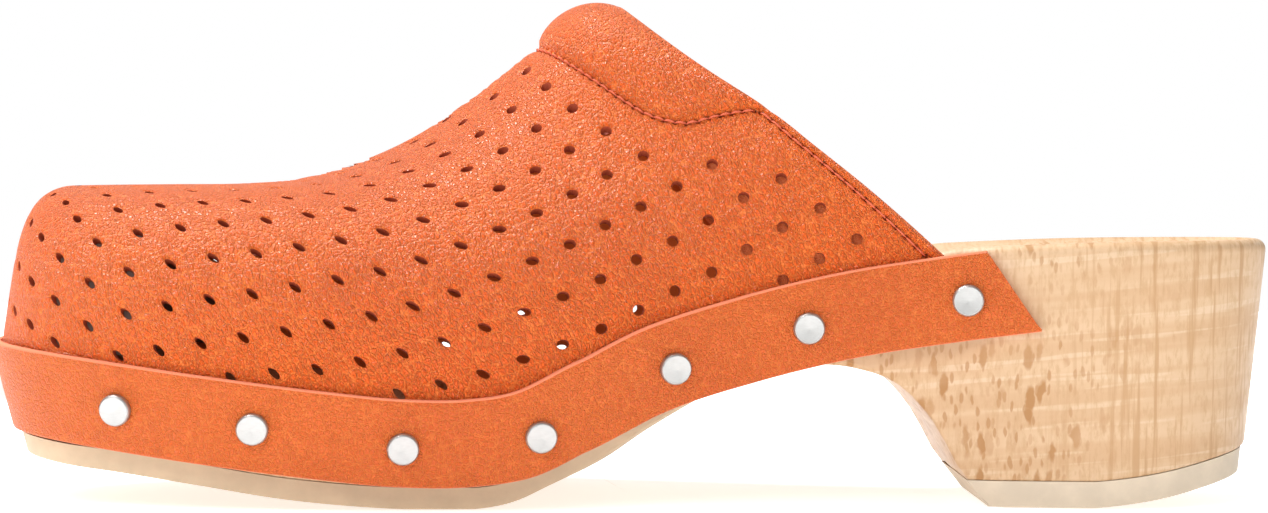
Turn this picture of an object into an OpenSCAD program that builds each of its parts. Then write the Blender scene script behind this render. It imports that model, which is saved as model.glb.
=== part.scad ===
// Wooden clog: a carved beech sole with a block heel, and a perforated leather upper held round its edge
// by a nailed leather band. The toe points to -X, the heel to +X, and the shoe stands on Z = 0.

/* [Wooden sole] */
// Length of the sole from toe to heel
sole_length = 253; // [240:1:266]
// Width of the sole at the ball of the foot
ball_width = 92; // [84:1:98]
// Width of the heel seat
heel_width = 63; // [58:1:68]
// Depth of the hollow that the foot stands in
cup_depth = 3.2; // [1:0.1:5]
// Radius of the rounded rim round the foot bed
rim_radius = 2.4; // [1.6:0.1:4.5]

/* [Rubber soles] */
// Thickness of the rubber under the forefoot
forefoot_rubber_t = 4.2; // [3:0.1:6]
// Thickness of the rubber piece under the heel
heel_rubber_t = 5.2; // [4:0.1:5.6]

/* [Leather upper] */
// Thickness of the upper's leather
leather_t = 1.8; // [1.2:0.1:2.2]
// Height that the padded collar adds at the instep
collar_rise = 5.0; // [2:0.1:6]
// Thickness of the lining behind the collar
lining_t = 1.0; // [0.6:0.1:1.4]
// Thickness of the stiffener inside the toe
puff_t = 1.2; // [0.8:0.1:1.6]

/* [Perforations] */
// Diameter of each punched hole
hole_d = 2.3; // [1.6:0.1:3]
// Distance between holes along a row
hole_pitch = 8.25; // [7:0.05:10]
// Distance between rows at the toe
row_pitch = 8.2; // [7:0.1:10]
// Distance between rows at the instep
instep_row_pitch = 9.0; // [8:0.1:10]

/* [Band] */
// Width of the leather band round the sole
band_w = 17; // [14:0.5:19]
// Thickness of the band
band_t = 1.8; // [1.4:0.1:2.4]

/* [Fasteners] */
// Diameter of a band nail's flat head
head_d = 6.2; // [5:0.1:7]
// Thickness of a nail's head
head_t = 1.6; // [1:0.1:2]
// Diameter of a nail's shank
shank_d = 1.8; // [1.4:0.1:2.2]
// Length of a nail's shank
shank_len = 14; // [10:0.5:16]
// Width of the metal guard at the toe
plate_w = 24; // [16:1:30]
// Height of the metal guard at the toe
plate_h = 6.6; // [5:0.2:8]

/* [Stitching] */
// Length from one topline stitch to the next
topline_pitch = 2.7; // [2.4:0.1:4]
// Length from one collar stitch to the next
collar_pitch = 2.25; // [2:0.05:4]
// Diameter of the thread
thread_d = 0.6; // [0.4:0.1:0.8]

/* [Hidden] */
NAILS_PER_SIDE = 7;
NAIL_NODES = [for (i = [1:2*NAILS_PER_SIDE]) str("band_nail_", i)];

wood_colour = [0.88, 0.74, 0.57];
rubber_colour = [0.84, 0.73, 0.61];
leather_colour = [0.86, 0.40, 0.18];
steel_colour = [0.80, 0.81, 0.82];

// ---- curves and small functions --------------------------------------------------------------------

function lerp(a, b, t) = a + (b - a) * t;
function clamp(a, b, x) = min(max(x, a), b);
function smooth(a, b, x) = let(t = clamp(0, 1, (x - a) / (b - a))) t * t * (3 - 2 * t);
function unit(v) = v / norm(v);

// A smooth curve through a few knots [x, value]
function span_of(k, x, i = 0) = (i >= len(k) - 2 || x < k[i + 1][0]) ? i : span_of(k, x, i + 1);
function rise(k, i) = (k[i + 1][1] - k[i][1]) / (k[i + 1][0] - k[i][0]);
function knot_slope(k, i) =
  i == 0 ? rise(k, 0) :
  i == len(k) - 1 ? rise(k, i - 1) :
  let(before = k[i][0] - k[i - 1][0], after = k[i + 1][0] - k[i][0])
  (rise(k, i - 1) * after + rise(k, i) * before) / (before + after);
function curve(k, x) =
  let(
    xc = clamp(k[0][0], k[len(k) - 1][0], x),
    i = span_of(k, xc),
    w = k[i + 1][0] - k[i][0],
    t = (xc - k[i][0]) / w
  )
  k[i][1] * (1 + 2 * t) * pow(1 - t, 2) + knot_slope(k, i) * w * t * pow(1 - t, 2)
  + k[i + 1][1] * t * t * (3 - 2 * t) + knot_slope(k, i + 1) * w * t * t * (t - 1);

// ---- outline of the sole in plan -------------------------------------------------------------------
// NEAR is the inner side of the foot and FAR the outer side. A place on the outline is a fraction q,
// 0 at the toe tip and 1 at the back of the heel.

NEAR = -1;
FAR = 1;
size_x = sole_length / 253;
toe_x = -126 * size_x;
heel_x = 127 * size_x;
ball_x = -42 * size_x;
heel_arc_x = 88 * size_x;
toe_arc_q = 0.30;
heel_arc_q = 0.78;
arc_power = [2.9, 2.4, 2.5];

function knots_x(k) = [for (p = k) [p[0] * size_x, p[1]]];
ball_k = ball_width / 92;
heel_k = heel_width / 63;
near_half = knots_x([[-127, 44.5 * ball_k], [-42, 44.5 * ball_k], [-20, 42.5 * ball_k], [0, 37.5 * ball_k],
  [20, 32.5 * heel_k], [42, 30.5 * heel_k], [66, 30.5 * heel_k], [88, 31.5 * heel_k], [127, 31.5 * heel_k]]);
far_half = knots_x([[-127, 47.5 * ball_k], [-42, 47.5 * ball_k], [-20, 46.8 * ball_k], [0, 43.5 * ball_k],
  [20, 39 * heel_k], [42, 35 * heel_k], [66, 32.5 * heel_k], [88, 31.5 * heel_k], [127, 31.5 * heel_k]]);
mid_line = knots_x([[-127, -7], [-100, -4.5], [-42, 0], [127, 0]]);

function arc_r(a, p) = pow(pow(abs(cos(a)), p) + pow(abs(sin(a)), p), -1 / p);
function outline(side, q) =
  let(
    toe_a = 90 * clamp(0, 1, q / toe_arc_q),
    heel_a = 90 * clamp(0, 1, (1 - q) / (1 - heel_arc_q)),
    toe_r = arc_r(toe_a, side == NEAR ? arc_power[0] : arc_power[1]),
    heel_r = arc_r(heel_a, arc_power[2]),
    x = q < toe_arc_q ? ball_x - (ball_x - toe_x) * toe_r * cos(toe_a) :
        q > heel_arc_q ? heel_arc_x + (heel_x - heel_arc_x) * heel_r * cos(heel_a) :
        lerp(ball_x, heel_arc_x, (q - toe_arc_q) / (heel_arc_q - toe_arc_q)),
    part = q < toe_arc_q ? toe_r * sin(toe_a) : q > heel_arc_q ? heel_r * sin(heel_a) : 1
  )
  [x, curve(mid_line, x) + side * part * curve(side == NEAR ? near_half : far_half, x)];
function outline_q(x) = lerp(toe_arc_q, heel_arc_q, (x - ball_x) / (heel_arc_x - ball_x));
function outline_out(side, q) =
  let(e = 0.0001, d = unit(outline(side, min(1, q + e)) - outline(side, max(0, q - e))))
  q <= 0 ? [-1, 0] : q >= 1 ? [1, 0] : side == NEAR ? [d.y, -d.x] : [-d.y, d.x];

// ---- profiles seen from the side -------------------------------------------------------------------

band_mid_k = knots_x([[-127, 23.0], [-104, 20.2], [-82, 17.3], [-60, 14.6], [-44, 13.1], [-32, 13.1],
  [-22, 14.6], [-10, 20.0], [4, 26.9], [22, 32.8], [42, 37.7], [61, 40.8], [80, 43.4]]);
tread_k = knots_x([[-127, 9.6], [-120, 8.7], [-114, 7.9], [-100, 6.5], [-84, 4.4], [-67, 1.9], [-52, 0.5],
  [-44, 0.05], [-37, 0], [-30, 0], [-22, 1.4], [-14, 4.8], [-6, 8.8], [2, 14.2], [14, 21.4]]);
arch_k = knots_x([[14, 22.1], [20.5, 24.3], [28, 26.3], [36, 27.7], [44, 26.9], [51.6, 23.8], [55.5, 20.2],
  [59.4, 14.9], [63.3, 7.6], [65, heel_rubber_t]]);
heel_tread_k = knots_x([[65, 0], [90, 0], [103, 1.5], [116, 4.0], [127, 6.2]]);
rubber_end_x = 14 * size_x;
breast_x = 65 * size_x;
flare_k = knots_x([[-127, 0.27], [-118, 0.235], [-106, 0.205], [-60, 0.19], [0, 0.16],
                   [60, 0.09], [127, 0.105]]);
heel_top_k = knots_x([[66, 51.0], [84, 51.9], [127, 52.8]]);
bed_drop = 1.0;
leather_out = -0.2;

function band_slope(x) = curve(band_mid_k, x + 0.5) - curve(band_mid_k, x - 0.5);
function band_half(x) = band_w / 2 * sqrt(1 + pow(band_slope(x), 2));
function band_x(x) = clamp(toe_x, 80 * size_x, x);
function band_top(x) = curve(band_mid_k, band_x(x)) + band_half(band_x(x));
function band_bottom(x) = curve(band_mid_k, band_x(x)) - band_half(band_x(x));
function tread(x) = max(0, curve(x < rubber_end_x + 1 ? tread_k : heel_tread_k, x));
rubber_end_t = 0.9;
function rubber_t(x) = lerp(forefoot_rubber_t, rubber_end_t, smooth(-20 * size_x, rubber_end_x, x));
function wood_bottom(x) =
  x < rubber_end_x ? tread(x) + rubber_t(x) :
  x < breast_x ? curve(arch_k, x) :
  tread(x) + heel_rubber_t;
function wood_top(x) =
  lerp(band_top(x) - bed_drop, curve(heel_top_k, x), smooth(48 * size_x, 67 * size_x, x));

// A point of the side wall: out is the distance outside the drawn outline
function wall(side, q, z, out) =
  let(
    p = outline(side, q),
    n = outline_out(side, q),
    d = (z - band_top(p.x) + bed_drop) * curve(flare_k, p.x) + out
  )
  [p.x + n.x * d, p.y + n.y * d, z];

// The model's origin is under the middle of its box, so every piece is moved there from the drawn frame
EDGE_STEPS = 60;
edge_out = leather_out + band_t;
function edge_point(side, q) = wall(side, q, band_top(outline(side, q).x), edge_out);
edge_y = [for (side = [NEAR, FAR], i = [0:EDGE_STEPS]) edge_point(side, i / EDGE_STEPS).y];
heel_back_x = heel_x - 0.4;
centre_x = (edge_point(NEAR, 0).x + heel_back_x) / 2;
centre_y = (min(edge_y) + max(edge_y)) / 2;
module centred() {
  translate([-centre_x, -centre_y, 0]) children();
}

// ---- solids made of columns ------------------------------------------------------------------------

function quad(a, b, c, d) = [[a, c, b], [a, d, c]];

// A band of columns, each a closed ring of points, closed by a cap at both ends
module sweep(columns) {
  n = len(columns);
  k = len(columns[0]);
  points = [for (column = columns) each column];
  sides = [for (i = [0:n - 2], j = [0:k - 1])
    each quad(i * k + j, i * k + (j + 1) % k, (i + 1) * k + (j + 1) % k, (i + 1) * k + j)];
  caps = [[for (j = [0:k - 1]) j], [for (j = [k - 1:-1:0]) (n - 1) * k + j]];
  polyhedron(points, concat(sides, caps), convexity = 10);
}

// A closed solid round the whole outline. Its columns run near heel, toe, far heel, and each climbs
// from a shared line under the sole to a shared line on top.
module round_solid(columns) {
  n = (len(columns) - 1) / 2;
  k = len(columns[0]);
  function id(c, j) =
    let(cc = c == 2 * n ? 0 : c, shared = (j == 0 || j == k - 1) && cc > n ? 2 * n - cc : cc) shared * k + j;
  points = [for (column = columns) each column];
  polyhedron(points, [for (c = [0:2 * n - 1], j = [0:k - 2])
    each quad(id(c, j), id(c, j + 1), id(c + 1, j + 1), id(c + 1, j))], convexity = 10);
}

// A shell that is open at its lower edge and at the topline. Outer and inner columns run from the near
// topline round the toe to the far topline, and climb to a shared ridge.
module hood(outer, inner) {
  n = (len(outer) - 1) / 2;
  k = len(outer[0]);
  layer = (2 * n + 1) * k;
  function id(c, j) = (j == k - 1 && c > n ? 2 * n - c : c) * k + j;
  points = concat([for (column = outer) each column], [for (column = inner) each column]);
  skin = [for (c = [0:2 * n - 1], j = [0:k - 2])
    each quad(id(c, j), id(c, j + 1), id(c + 1, j + 1), id(c + 1, j))];
  lower = [for (c = [0:2 * n - 1])
    each quad(id(c, 0), id(c + 1, 0), layer + id(c + 1, 0), layer + id(c, 0))];
  near_end = [for (j = [0:k - 2])
    each quad(id(0, j), layer + id(0, j), layer + id(0, j + 1), id(0, j + 1))];
  far_end = [for (j = [0:k - 2])
    each quad(id(2 * n, j), id(2 * n, j + 1), layer + id(2 * n, j + 1), layer + id(2 * n, j))];
  polyhedron(points, concat(skin, [for (f = skin) [layer + f[2], layer + f[1], layer + f[0]]],
    lower, near_end, far_end), convexity = 10);
}

// ---- the wooden sole -------------------------------------------------------------------------------

SOLE_STEPS = 34;
RIM_STEPS = 3;
bottom_bevel = 1.2;
seat_step = -1.8;
toe_spine_inset = 16;
heel_spine_inset = 15;
rim_fall = 0.6;
rim_run = 3;
cup_part = 0.42;

function spine_x(q) =
  q < toe_arc_q ? ball_x - (ball_x - toe_x - toe_spine_inset) * cos(90 * q / toe_arc_q) :
  q > heel_arc_q ? heel_arc_x
    + (heel_x - heel_spine_inset - heel_arc_x) * cos(90 * (1 - q) / (1 - heel_arc_q)) :
  outline(NEAR, q).x;
function spine(q, z) = [spine_x(q), curve(mid_line, spine_x(q)), z];
function wood_out(x) = leather_out + seat_step * (1 - smooth(62 * size_x, 72 * size_x, x));
function inward(side, q, z, out, f) = lerp(wall(side, q, z, out), spine(q, z), f);

function sole_column(side, q) =
  let(
    x = outline(side, q).x,
    out = wood_out(x),
    low = wood_bottom(x),
    high = wood_top(x),
    deep = wood_top(spine_x(q)) - cup_depth
  )
  concat(
    [spine(q, wood_bottom(spine_x(q))),
     inward(side, q, wood_bottom(lerp(x, spine_x(q), 0.5)), out, 0.5),
     wall(side, q, low, out - bottom_bevel),
     wall(side, q, low + bottom_bevel, out),
     wall(side, q, lerp(low, high, 0.5), out)],
    [for (i = [0:RIM_STEPS]) let(a = 90 * i / RIM_STEPS)
      wall(side, q, high - rim_radius * (1 - sin(a)), out - rim_radius * (1 - cos(a)))],
    [wall(side, q, high - rim_fall, out - rim_radius - rim_run),
     lerp(inward(side, q, high, out, 0.45), spine(q, deep), 0.35) + [0, 0, -cup_depth * cup_part],
     spine(q, deep)]
  );
// More columns where the outline turns
function sole_q(t) = t - 0.055 * sin(360 * t);

module wooden_sole() {
  color(wood_colour) centred() difference() {
    round_solid([for (c = [-SOLE_STEPS:SOLE_STEPS])
      sole_column(c <= 0 ? NEAR : FAR, sole_q(abs(c) / SOLE_STEPS))]);
    for (i = [1:2 * NAILS_PER_SIDE]) at_nail(i) shank(shank_d, shank_len);
    for (i = [0:1]) at_plate_nail(i) shank(plate_shank_d, plate_shank_len);
    for (i = [0:STAPLES - 1]) at_staple(i) staple();
  }
}

// ---- rubber pieces ---------------------------------------------------------------------------------

rubber_inset = 0.6;
toe_fill = 2.7;
rubber_edge = 0.5;
heel_front_slant = 4.2;
heel_front_fade = 12;
FOREFOOT_STEPS = 28;
HEEL_STEPS = 18;

// One column of the forefoot rubber: four corners on the near and far side of one station
function tread_column(q) =
  let(
    n = outline(NEAR, q),
    f = outline(FAR, q),
    out = wood_out(n.x) - rubber_inset + toe_fill * (1 - smooth(-126 * size_x, -100 * size_x, n.x)),
    nz = tread(n.x),
    fz = tread(f.x)
  )
  [wall(NEAR, q, nz + rubber_t(n.x), out), wall(NEAR, q, nz + rubber_edge, out),
   wall(NEAR, q, nz, out - rubber_edge), wall(FAR, q, fz, out - rubber_edge),
   wall(FAR, q, fz + rubber_edge, out), wall(FAR, q, fz + rubber_t(f.x), out)];

module forefoot_outsole() {
  q_start = 0.004;
  q_end = outline_q(rubber_end_x);
  color(rubber_colour) centred()
    sweep([for (i = [0:FOREFOOT_STEPS]) tread_column(lerp(q_start, q_end, pow(i / FOREFOOT_STEPS, 1.5)))]);
}

function heel_rubber_column(q) =
  let(
    x = outline(NEAR, q).x,
    slant = [heel_front_slant * (1 - smooth(breast_x, breast_x + heel_front_fade, x)), 0, 0],
    low = tread(x),
    out = wood_out(x) - rubber_inset
  )
  [wall(NEAR, q, low + heel_rubber_t, out), wall(NEAR, q, low + rubber_edge, out) + slant,
   wall(NEAR, q, low, out - rubber_edge) + slant, wall(FAR, q, low, out - rubber_edge) + slant,
   wall(FAR, q, low + rubber_edge, out) + slant, wall(FAR, q, low + heel_rubber_t, out)];

module heel_top_piece() {
  q_start = outline_q(breast_x);
  q_end = 0.996;
  function q_at(t) = lerp(q_start, q_end, 1 - pow(1 - t, 1.5));
  color(rubber_colour) centred() sweep([for (i = [0:HEEL_STEPS]) heel_rubber_column(q_at(i / HEEL_STEPS))]);
}

// ---- the upper's surface ---------------------------------------------------------------------------
// A place on the upper is q along the sole and a climb angle phi, 0 at the band and 90 on the ridge.

topline_q = outline_q(62 * size_x);
ridge_x_k = [[0, -112 * size_x], [0.1, -108 * size_x], [0.2, -92 * size_x], [0.3, -66 * size_x],
  [0.45, -40 * size_x], [0.6, -16 * size_x], [topline_q, -3 * size_x]];
ridge_z_k = knots_x([[-112, 61.9], [-104, 62.1], [-92, 62.3], [-80, 62.5], [-68, 63.6], [-56, 67.1],
  [-44, 72.8], [-32, 81.2], [-19, 91.0], [-12, 93.9], [-6, 95.0], [-1, 94.8]]);
fullness_k = [[0, 2.6], [0.2, 3.1], [0.35, 3.0], [0.5, 2.4], [topline_q, 2.2]];
bow_k = [[0, 0], [0.13, 1.9], [0.33, 4.1], [0.5, 5.2], [0.62, 5.9], [0.8, 2.8], [1, 0]];
toe_lean = 2.2;
toe_lean_end_q = 0.14;
collar_q = 0.575;
collar_phi = 37;

function upper_at(side, q, phi, inset) =
  let(
    p = wall(side, q, band_top(outline(side, q).x) - bed_drop, leather_out - inset),
    rx = curve(ridge_x_k, q),
    n = curve(fullness_k, q),
    h = 1 - pow(max(cos(phi), 0), 2 / n),
    v = pow(max(sin(phi), 0), 2 / n),
    lean = smooth(0.2, topline_q, q),
    toe = toe_lean * (1 - smooth(0, toe_lean_end_q, q)) * sin(180 * v)
  )
  [lerp(p.x, rx, lerp(h, v, lean)) + lean * curve(bow_k, v) + toe,
   lerp(p.y, curve(mid_line, rx), h),
   lerp(p.z, curve(ridge_z_k, rx) - inset, v)];

function upper_out(side, q, phi) =
  let(
    dq = upper_at(side, q + 0.004, phi, 0) - upper_at(side, q - 0.004, phi, 0),
    dphi = upper_at(side, q, min(phi + 1, 89.5), 0) - upper_at(side, q, max(phi - 1, 0.2), 0)
  )
  unit(-side * cross(dq, dphi));

// The padded collar's swelling, from 0 at its stitch line to 1 in its middle
collar_blend = 50;
function swell(q, phi) =
  let(
    a = clamp(0, 1, (q - collar_q) / (topline_q - collar_q)),
    b = clamp(0, 1, (phi - collar_phi) / collar_blend)
  )
  (q <= collar_q || phi <= collar_phi) ? 0 :
  pow(sin(150 * a), 0.6) * pow(sin(90 * b), 0.8) * lerp(0.7, 1, phi / 90);
function skin(side, q, phi, inset) =
  let(s = swell(q, phi), p = upper_at(side, q, phi, inset))
  s > 0 ? p + upper_out(side, q, phi) * s * collar_rise : p;

margin_drop = [11, 5];
function hood_column(side, q, inset, steps) =
  let(x = outline(side, q).x)
  concat([for (drop = margin_drop) wall(side, q, band_top(x) - bed_drop - drop, leather_out - inset)],
    [for (j = [0:steps]) skin(side, q, 90 * j / steps, inset)]);

VAMP_STEPS = 24;
COLLAR_STEPS = 7;
CLIMB_STEPS = 13;
// Columns from the toe to the collar's seam, then across the collar
vamp_end_q = collar_q - 0.006;
upper_q = concat(
  [for (i = [0:VAMP_STEPS]) let(t = i / VAMP_STEPS) lerp(t, pow(t, 0.8), 0.6) * vamp_end_q],
  [for (i = [0:COLLAR_STEPS]) lerp(collar_q, topline_q, i / COLLAR_STEPS)]);
UPPER_STEPS = len(upper_q) - 1;

module leather_upper() {
  color(leather_colour) centred() difference() {
    hood(
      [for (c = [-UPPER_STEPS:UPPER_STEPS])
        hood_column(c <= 0 ? NEAR : FAR, upper_q[abs(c)], 0, CLIMB_STEPS)],
      [for (c = [-UPPER_STEPS:UPPER_STEPS])
        hood_column(c <= 0 ? NEAR : FAR, upper_q[abs(c)], leather_t, CLIMB_STEPS)]);
    for (k = [-ROWS:ROWS], h = row_holes(k)) at_skin(h[0], h[1], h[2]) punch();
    for (i = [1:2 * NAILS_PER_SIDE]) at_nail(i) shank(shank_d, shank_len);
    for (i = [0:STAPLES - 1]) at_staple(i) staple();
  }
}

// ---- perforations ----------------------------------------------------------------------------------
// Rows run from the collar to the toe. Row 0 starts on the ridge, rows above 0 lie on the near side.

ROWS = 10;
ROW_SAMPLES = 48;
CLIMB_SAMPLES = 15;
toe_row_0 = 11.9;
instep_row_0 = -0.9;
row_end_q = [0.535, 0.539, 0.533, 0.529, 0.530, 0.534, 0.580, 0.622, 0.629, 0.634, 0.650];
far_row_shift_q = 0.008;

// Length of leather from the ridge down to each sampled climb angle
function climb_point(side, q, j) = upper_at(side, q, 90 * (1 - j / CLIMB_SAMPLES), 0);
function climb_lengths(side, q, j = 0, total = 0) =
  j == CLIMB_SAMPLES ? [total] :
  concat([total], climb_lengths(side, q, j + 1,
    total + norm(climb_point(side, q, j + 1) - climb_point(side, q, j))));
function lookup_phi(lengths, s, j = 0) =
  j >= CLIMB_SAMPLES ? -1 :
  s < lengths[j + 1] ? 90 * (1 - (j + (s - lengths[j]) / (lengths[j + 1] - lengths[j])) / CLIMB_SAMPLES) :
  lookup_phi(lengths, s, j + 1);

// How far below the ridge row k lies. On the toe cap the rows run straight ahead and the columns fan out.
function row_offset(k, q) =
  let(
    p = outline(k > 0 ? NEAR : FAR, q),
    rx = curve(ridge_x_k, q),
    fan = atan2(max(rx - p.x, 0), abs(p.y - curve(mid_line, rx)))
  )
  lerp(toe_row_0 + row_pitch * k, instep_row_0 + instep_row_pitch * k, clamp(0, 1, (q - 0.24) / 0.25))
  / max(cos(fan), 0.05);
function row_place(k, q) =
  let(s = row_offset(k, q), side = s > 0 ? NEAR : FAR)
  [side, q, lookup_phi(climb_lengths(side, q), abs(s))];
function row_end(k) = row_end_q[abs(k)] + (k < 0 ? far_row_shift_q : 0);
function row_path(k) = [for (i = [0:ROW_SAMPLES])
  let(place = row_place(k, lerp(row_end(k), 0.02, i / ROW_SAMPLES))) if (place[2] > 1) place];
function path_lengths(points, i = 0, total = 0) =
  i == len(points) - 1 ? [total] :
  concat([total], path_lengths(points, i + 1, total + norm(points[i + 1] - points[i])));
function segment_at(lengths, s, i = 0) =
  (i >= len(lengths) - 2 || s < lengths[i + 1]) ? i : segment_at(lengths, s, i + 1);
// No holes where a row has left the leather for a while, which shows as one long segment
function row_holes(k) = let(path = row_path(k)) len(path) < 2 ? [] :
  let(lengths = path_lengths([for (p = path) upper_at(p[0], p[1], p[2], 0)]))
  [for (s = [0:hole_pitch:lengths[len(lengths) - 1]])
    let(i = segment_at(lengths, s), step = lengths[i + 1] - lengths[i], t = (s - lengths[i]) / step)
    if (step < hole_pitch) path[i][0] == path[i + 1][0] ? lerp(path[i], path[i + 1], t) : path[i]];

module at_skin(side, q, phi) {
  d = upper_out(side, q, phi);
  translate(upper_at(side, q, phi, leather_t / 2)) face(d) children();
}
module face(d) {
  rotate([0, acos(d.z), atan2(d.y, d.x)]) children();
}
module punch() {
  cylinder(d = hole_d, h = leather_t + 2.6, center = true, $fn = 16);
}

// ---- pieces inside the upper -----------------------------------------------------------------------

PUFF_STEPS = 9;
puff_q = 0.19;
fit_gap = 0.1;

module toe_puff() {
  function column(c, inset) = [for (j = [0:CLIMB_STEPS])
    upper_at(c <= 0 ? NEAR : FAR, puff_q * abs(c) / PUFF_STEPS, 90 * j / CLIMB_STEPS, inset)];
  color("gainsboro") centred() hood(
    [for (c = [-PUFF_STEPS:PUFF_STEPS]) column(c, leather_t + fit_gap)],
    [for (c = [-PUFF_STEPS:PUFF_STEPS]) column(c, leather_t + fit_gap + puff_t)]);
}

FOAM_STEPS = 12;
FOAM_RING = 6;

// The pad is a crescent under the collar, thickest over the instep
module collar_foam() {
  phi_start = collar_phi + 3;
  q_start = collar_q + 0.008;
  q_end = topline_q - 0.008;
  inset = leather_t + fit_gap;
  function column(c) =
    let(side = c <= 0 ? NEAR : FAR, phi = lerp(90, phi_start, abs(c) / FOAM_STEPS))
    concat(
      [for (i = [0:FOAM_RING]) skin(side, lerp(q_start, q_end, i / FOAM_RING), phi, inset)],
      [for (i = [FOAM_RING:-1:0]) upper_at(side, lerp(q_start, q_end, i / FOAM_RING), phi, inset + 0.05)]);
  color("khaki") centred() sweep([for (c = [-FOAM_STEPS:FOAM_STEPS]) column(c)]);
}

LINING_STEPS = 22;
LINING_RING = 5;
lining_q = 0.548;

// A facing strip along the whole topline, from the band on one side over the instep to the other
module collar_lining() {
  inset = leather_t + 2 * fit_gap;
  function q_at(i) = lerp(lining_q, topline_q, i / LINING_RING);
  function column(c) =
    let(side = c <= 0 ? NEAR : FAR, phi = 90 * (1 - abs(c) / LINING_STEPS))
    concat(
      [for (i = [0:LINING_RING]) upper_at(side, q_at(i), phi, inset)],
      [for (i = [LINING_RING:-1:0]) upper_at(side, q_at(i), phi, inset + lining_t)]);
  color(leather_colour) centred() sweep([for (c = [-LINING_STEPS:LINING_STEPS]) column(c)]);
}

// ---- the band --------------------------------------------------------------------------------------

BAND_STEPS = 40;
band_tip_x = 79 * size_x;
band_top_end_x = 68.2 * size_x;

function band_point(c, t, out) =
  let(
    side = c <= 0 ? NEAR : FAR,
    q_end = lerp(outline_q(band_tip_x), outline_q(band_top_end_x), t),
    q = q_end * pow(abs(c) / BAND_STEPS, 0.9),
    x = outline(side, q).x
  )
  wall(side, q, lerp(band_bottom(x), band_top(x), t), out);

module band() {
  out = leather_out + band_t;
  color(leather_colour) centred() difference() {
    sweep([for (c = [-BAND_STEPS:BAND_STEPS])
      [band_point(c, 0, out), band_point(c, 0.5, out), band_point(c, 1, out),
       band_point(c, 1, leather_out), band_point(c, 0.5, leather_out), band_point(c, 0, leather_out)]]);
    for (i = [1:2 * NAILS_PER_SIDE]) at_nail(i) shank(shank_d, shank_len);
    for (i = [0:1]) at_plate_nail(i) shank(plate_shank_d, plate_shank_len);
  }
}

// ---- nails, plate and staples ----------------------------------------------------------------------

nail_q = concat([0.174, 0.232, 0.295], [for (x = [-18, 7.6, 33.7, 64.7]) outline_q(x * size_x)]);
nail_drop = [0.3, 0.15, 0.9, 1.7, 1.0, 0.75, 0.6];
plate_t = 1.2;
plate_drop = 1.2;
plate_z = curve(band_mid_k, toe_x) - plate_drop;
plate_corner = 0.8;
plate_q = 0.05 * plate_w / 24;
plate_shank_d = 1.2;
plate_shank_len = 9;
plate_head_d = 3;
STAPLES = 12;
staple_w = 8;
staple_leg = 8;
staple_wire = 0.8;

// Puts a piece on the side wall, with +Z pointing out of it
module on_wall(side, q, z, out) {
  n = outline_out(side, q);
  flare = curve(flare_k, outline(side, q).x);
  translate(wall(side, q, z, out)) face(unit([n.x, n.y, -flare])) children();
}
module at_nail(i) {
  side = i <= NAILS_PER_SIDE ? NEAR : FAR;
  n = (i - 1) % NAILS_PER_SIDE;
  z = curve(band_mid_k, outline(side, nail_q[n]).x) - nail_drop[n];
  on_wall(side, nail_q[n], z, leather_out + band_t) children();
}
module at_plate_nail(i) {
  on_wall(i == 0 ? NEAR : FAR, plate_q * 0.6, plate_z, leather_out + band_t + plate_t) children();
}
module at_staple(i) {
  side = i % 2 == 0 ? NEAR : FAR;
  n = floor(i / 2);
  q = (nail_q[n] + nail_q[n + 1]) / 2;
  x = outline(side, q).x;
  on_wall(side, q, curve(band_mid_k, x) - 0.5, leather_out) children();
}
module shank(d, length) {
  translate([0, 0, -length]) cylinder(d = d, h = length + 1, $fn = 16);
}
module staple() {
  translate([-staple_wire / 2, -staple_w / 2, -staple_wire]) cube([staple_wire, staple_w, staple_wire]);
  for (y = [-1, 1]) translate([0, y * (staple_w - staple_wire) / 2, -staple_leg])
    cylinder(d = staple_wire, h = staple_leg - staple_wire / 2, $fn = 16);
}
module flat_nail(head_d, head_t, d, length) {
  edge = head_t * 0.3;
  point = d * 1.2;
  rotate_extrude($fn = 32) polygon([[0, -length], [d / 2, point - length], [d / 2, 0], [head_d / 2, 0],
    [head_d / 2, head_t - edge], [head_d / 2 - edge, head_t], [0, head_t]]);
}
module band_nail(i) {
  color(steel_colour) centred() at_nail(i) flat_nail(head_d, head_t, shank_d, shank_len);
}

PLATE_STEPS = 8;

module toe_plate() {
  inner = leather_out + band_t;
  function column(c) =
    let(
      side = c <= 0 ? NEAR : FAR,
      q = plate_q * abs(c) / PLATE_STEPS,
      half = plate_h / 2 - plate_corner * pow(c / PLATE_STEPS, 4),
      edge = inner + plate_t * 0.7
    )
    [wall(side, q, plate_z - half, edge), wall(side, q, plate_z, inner + plate_t),
     wall(side, q, plate_z + half, edge), wall(side, q, plate_z + half, inner),
     wall(side, q, plate_z, inner), wall(side, q, plate_z - half, inner)];
  color(steel_colour) centred() difference() {
    sweep([for (c = [-PLATE_STEPS:PLATE_STEPS]) column(c)]);
    for (i = [0:1]) at_plate_nail(i) shank(plate_shank_d, plate_shank_len);
  }
}
module toe_plate_nails() {
  color(steel_colour) centred() for (i = [0:1]) at_plate_nail(i)
    flat_nail(plate_head_d, 0.8, plate_shank_d, plate_shank_len);
}
module lasting_staples() {
  color(steel_colour) centred() for (i = [0:STAPLES - 1]) at_staple(i) staple();
}

// ---- stitching -------------------------------------------------------------------------------------

SEAM_SAMPLES = 40;
topline_seam_q = topline_q - 0.016;
stitch_gap = 0.25;

function seam_point(side, q, phi, lift) = skin(side, q, phi, 0) + upper_out(side, q, phi) * lift;
topline_lift = 0.06;
collar_lift = 0.35;
function topline_seam(side) = [for (i = [0:SEAM_SAMPLES])
  seam_point(side, topline_seam_q, lerp(1, collar_phi - 0.5, i / SEAM_SAMPLES), topline_lift)];
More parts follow.
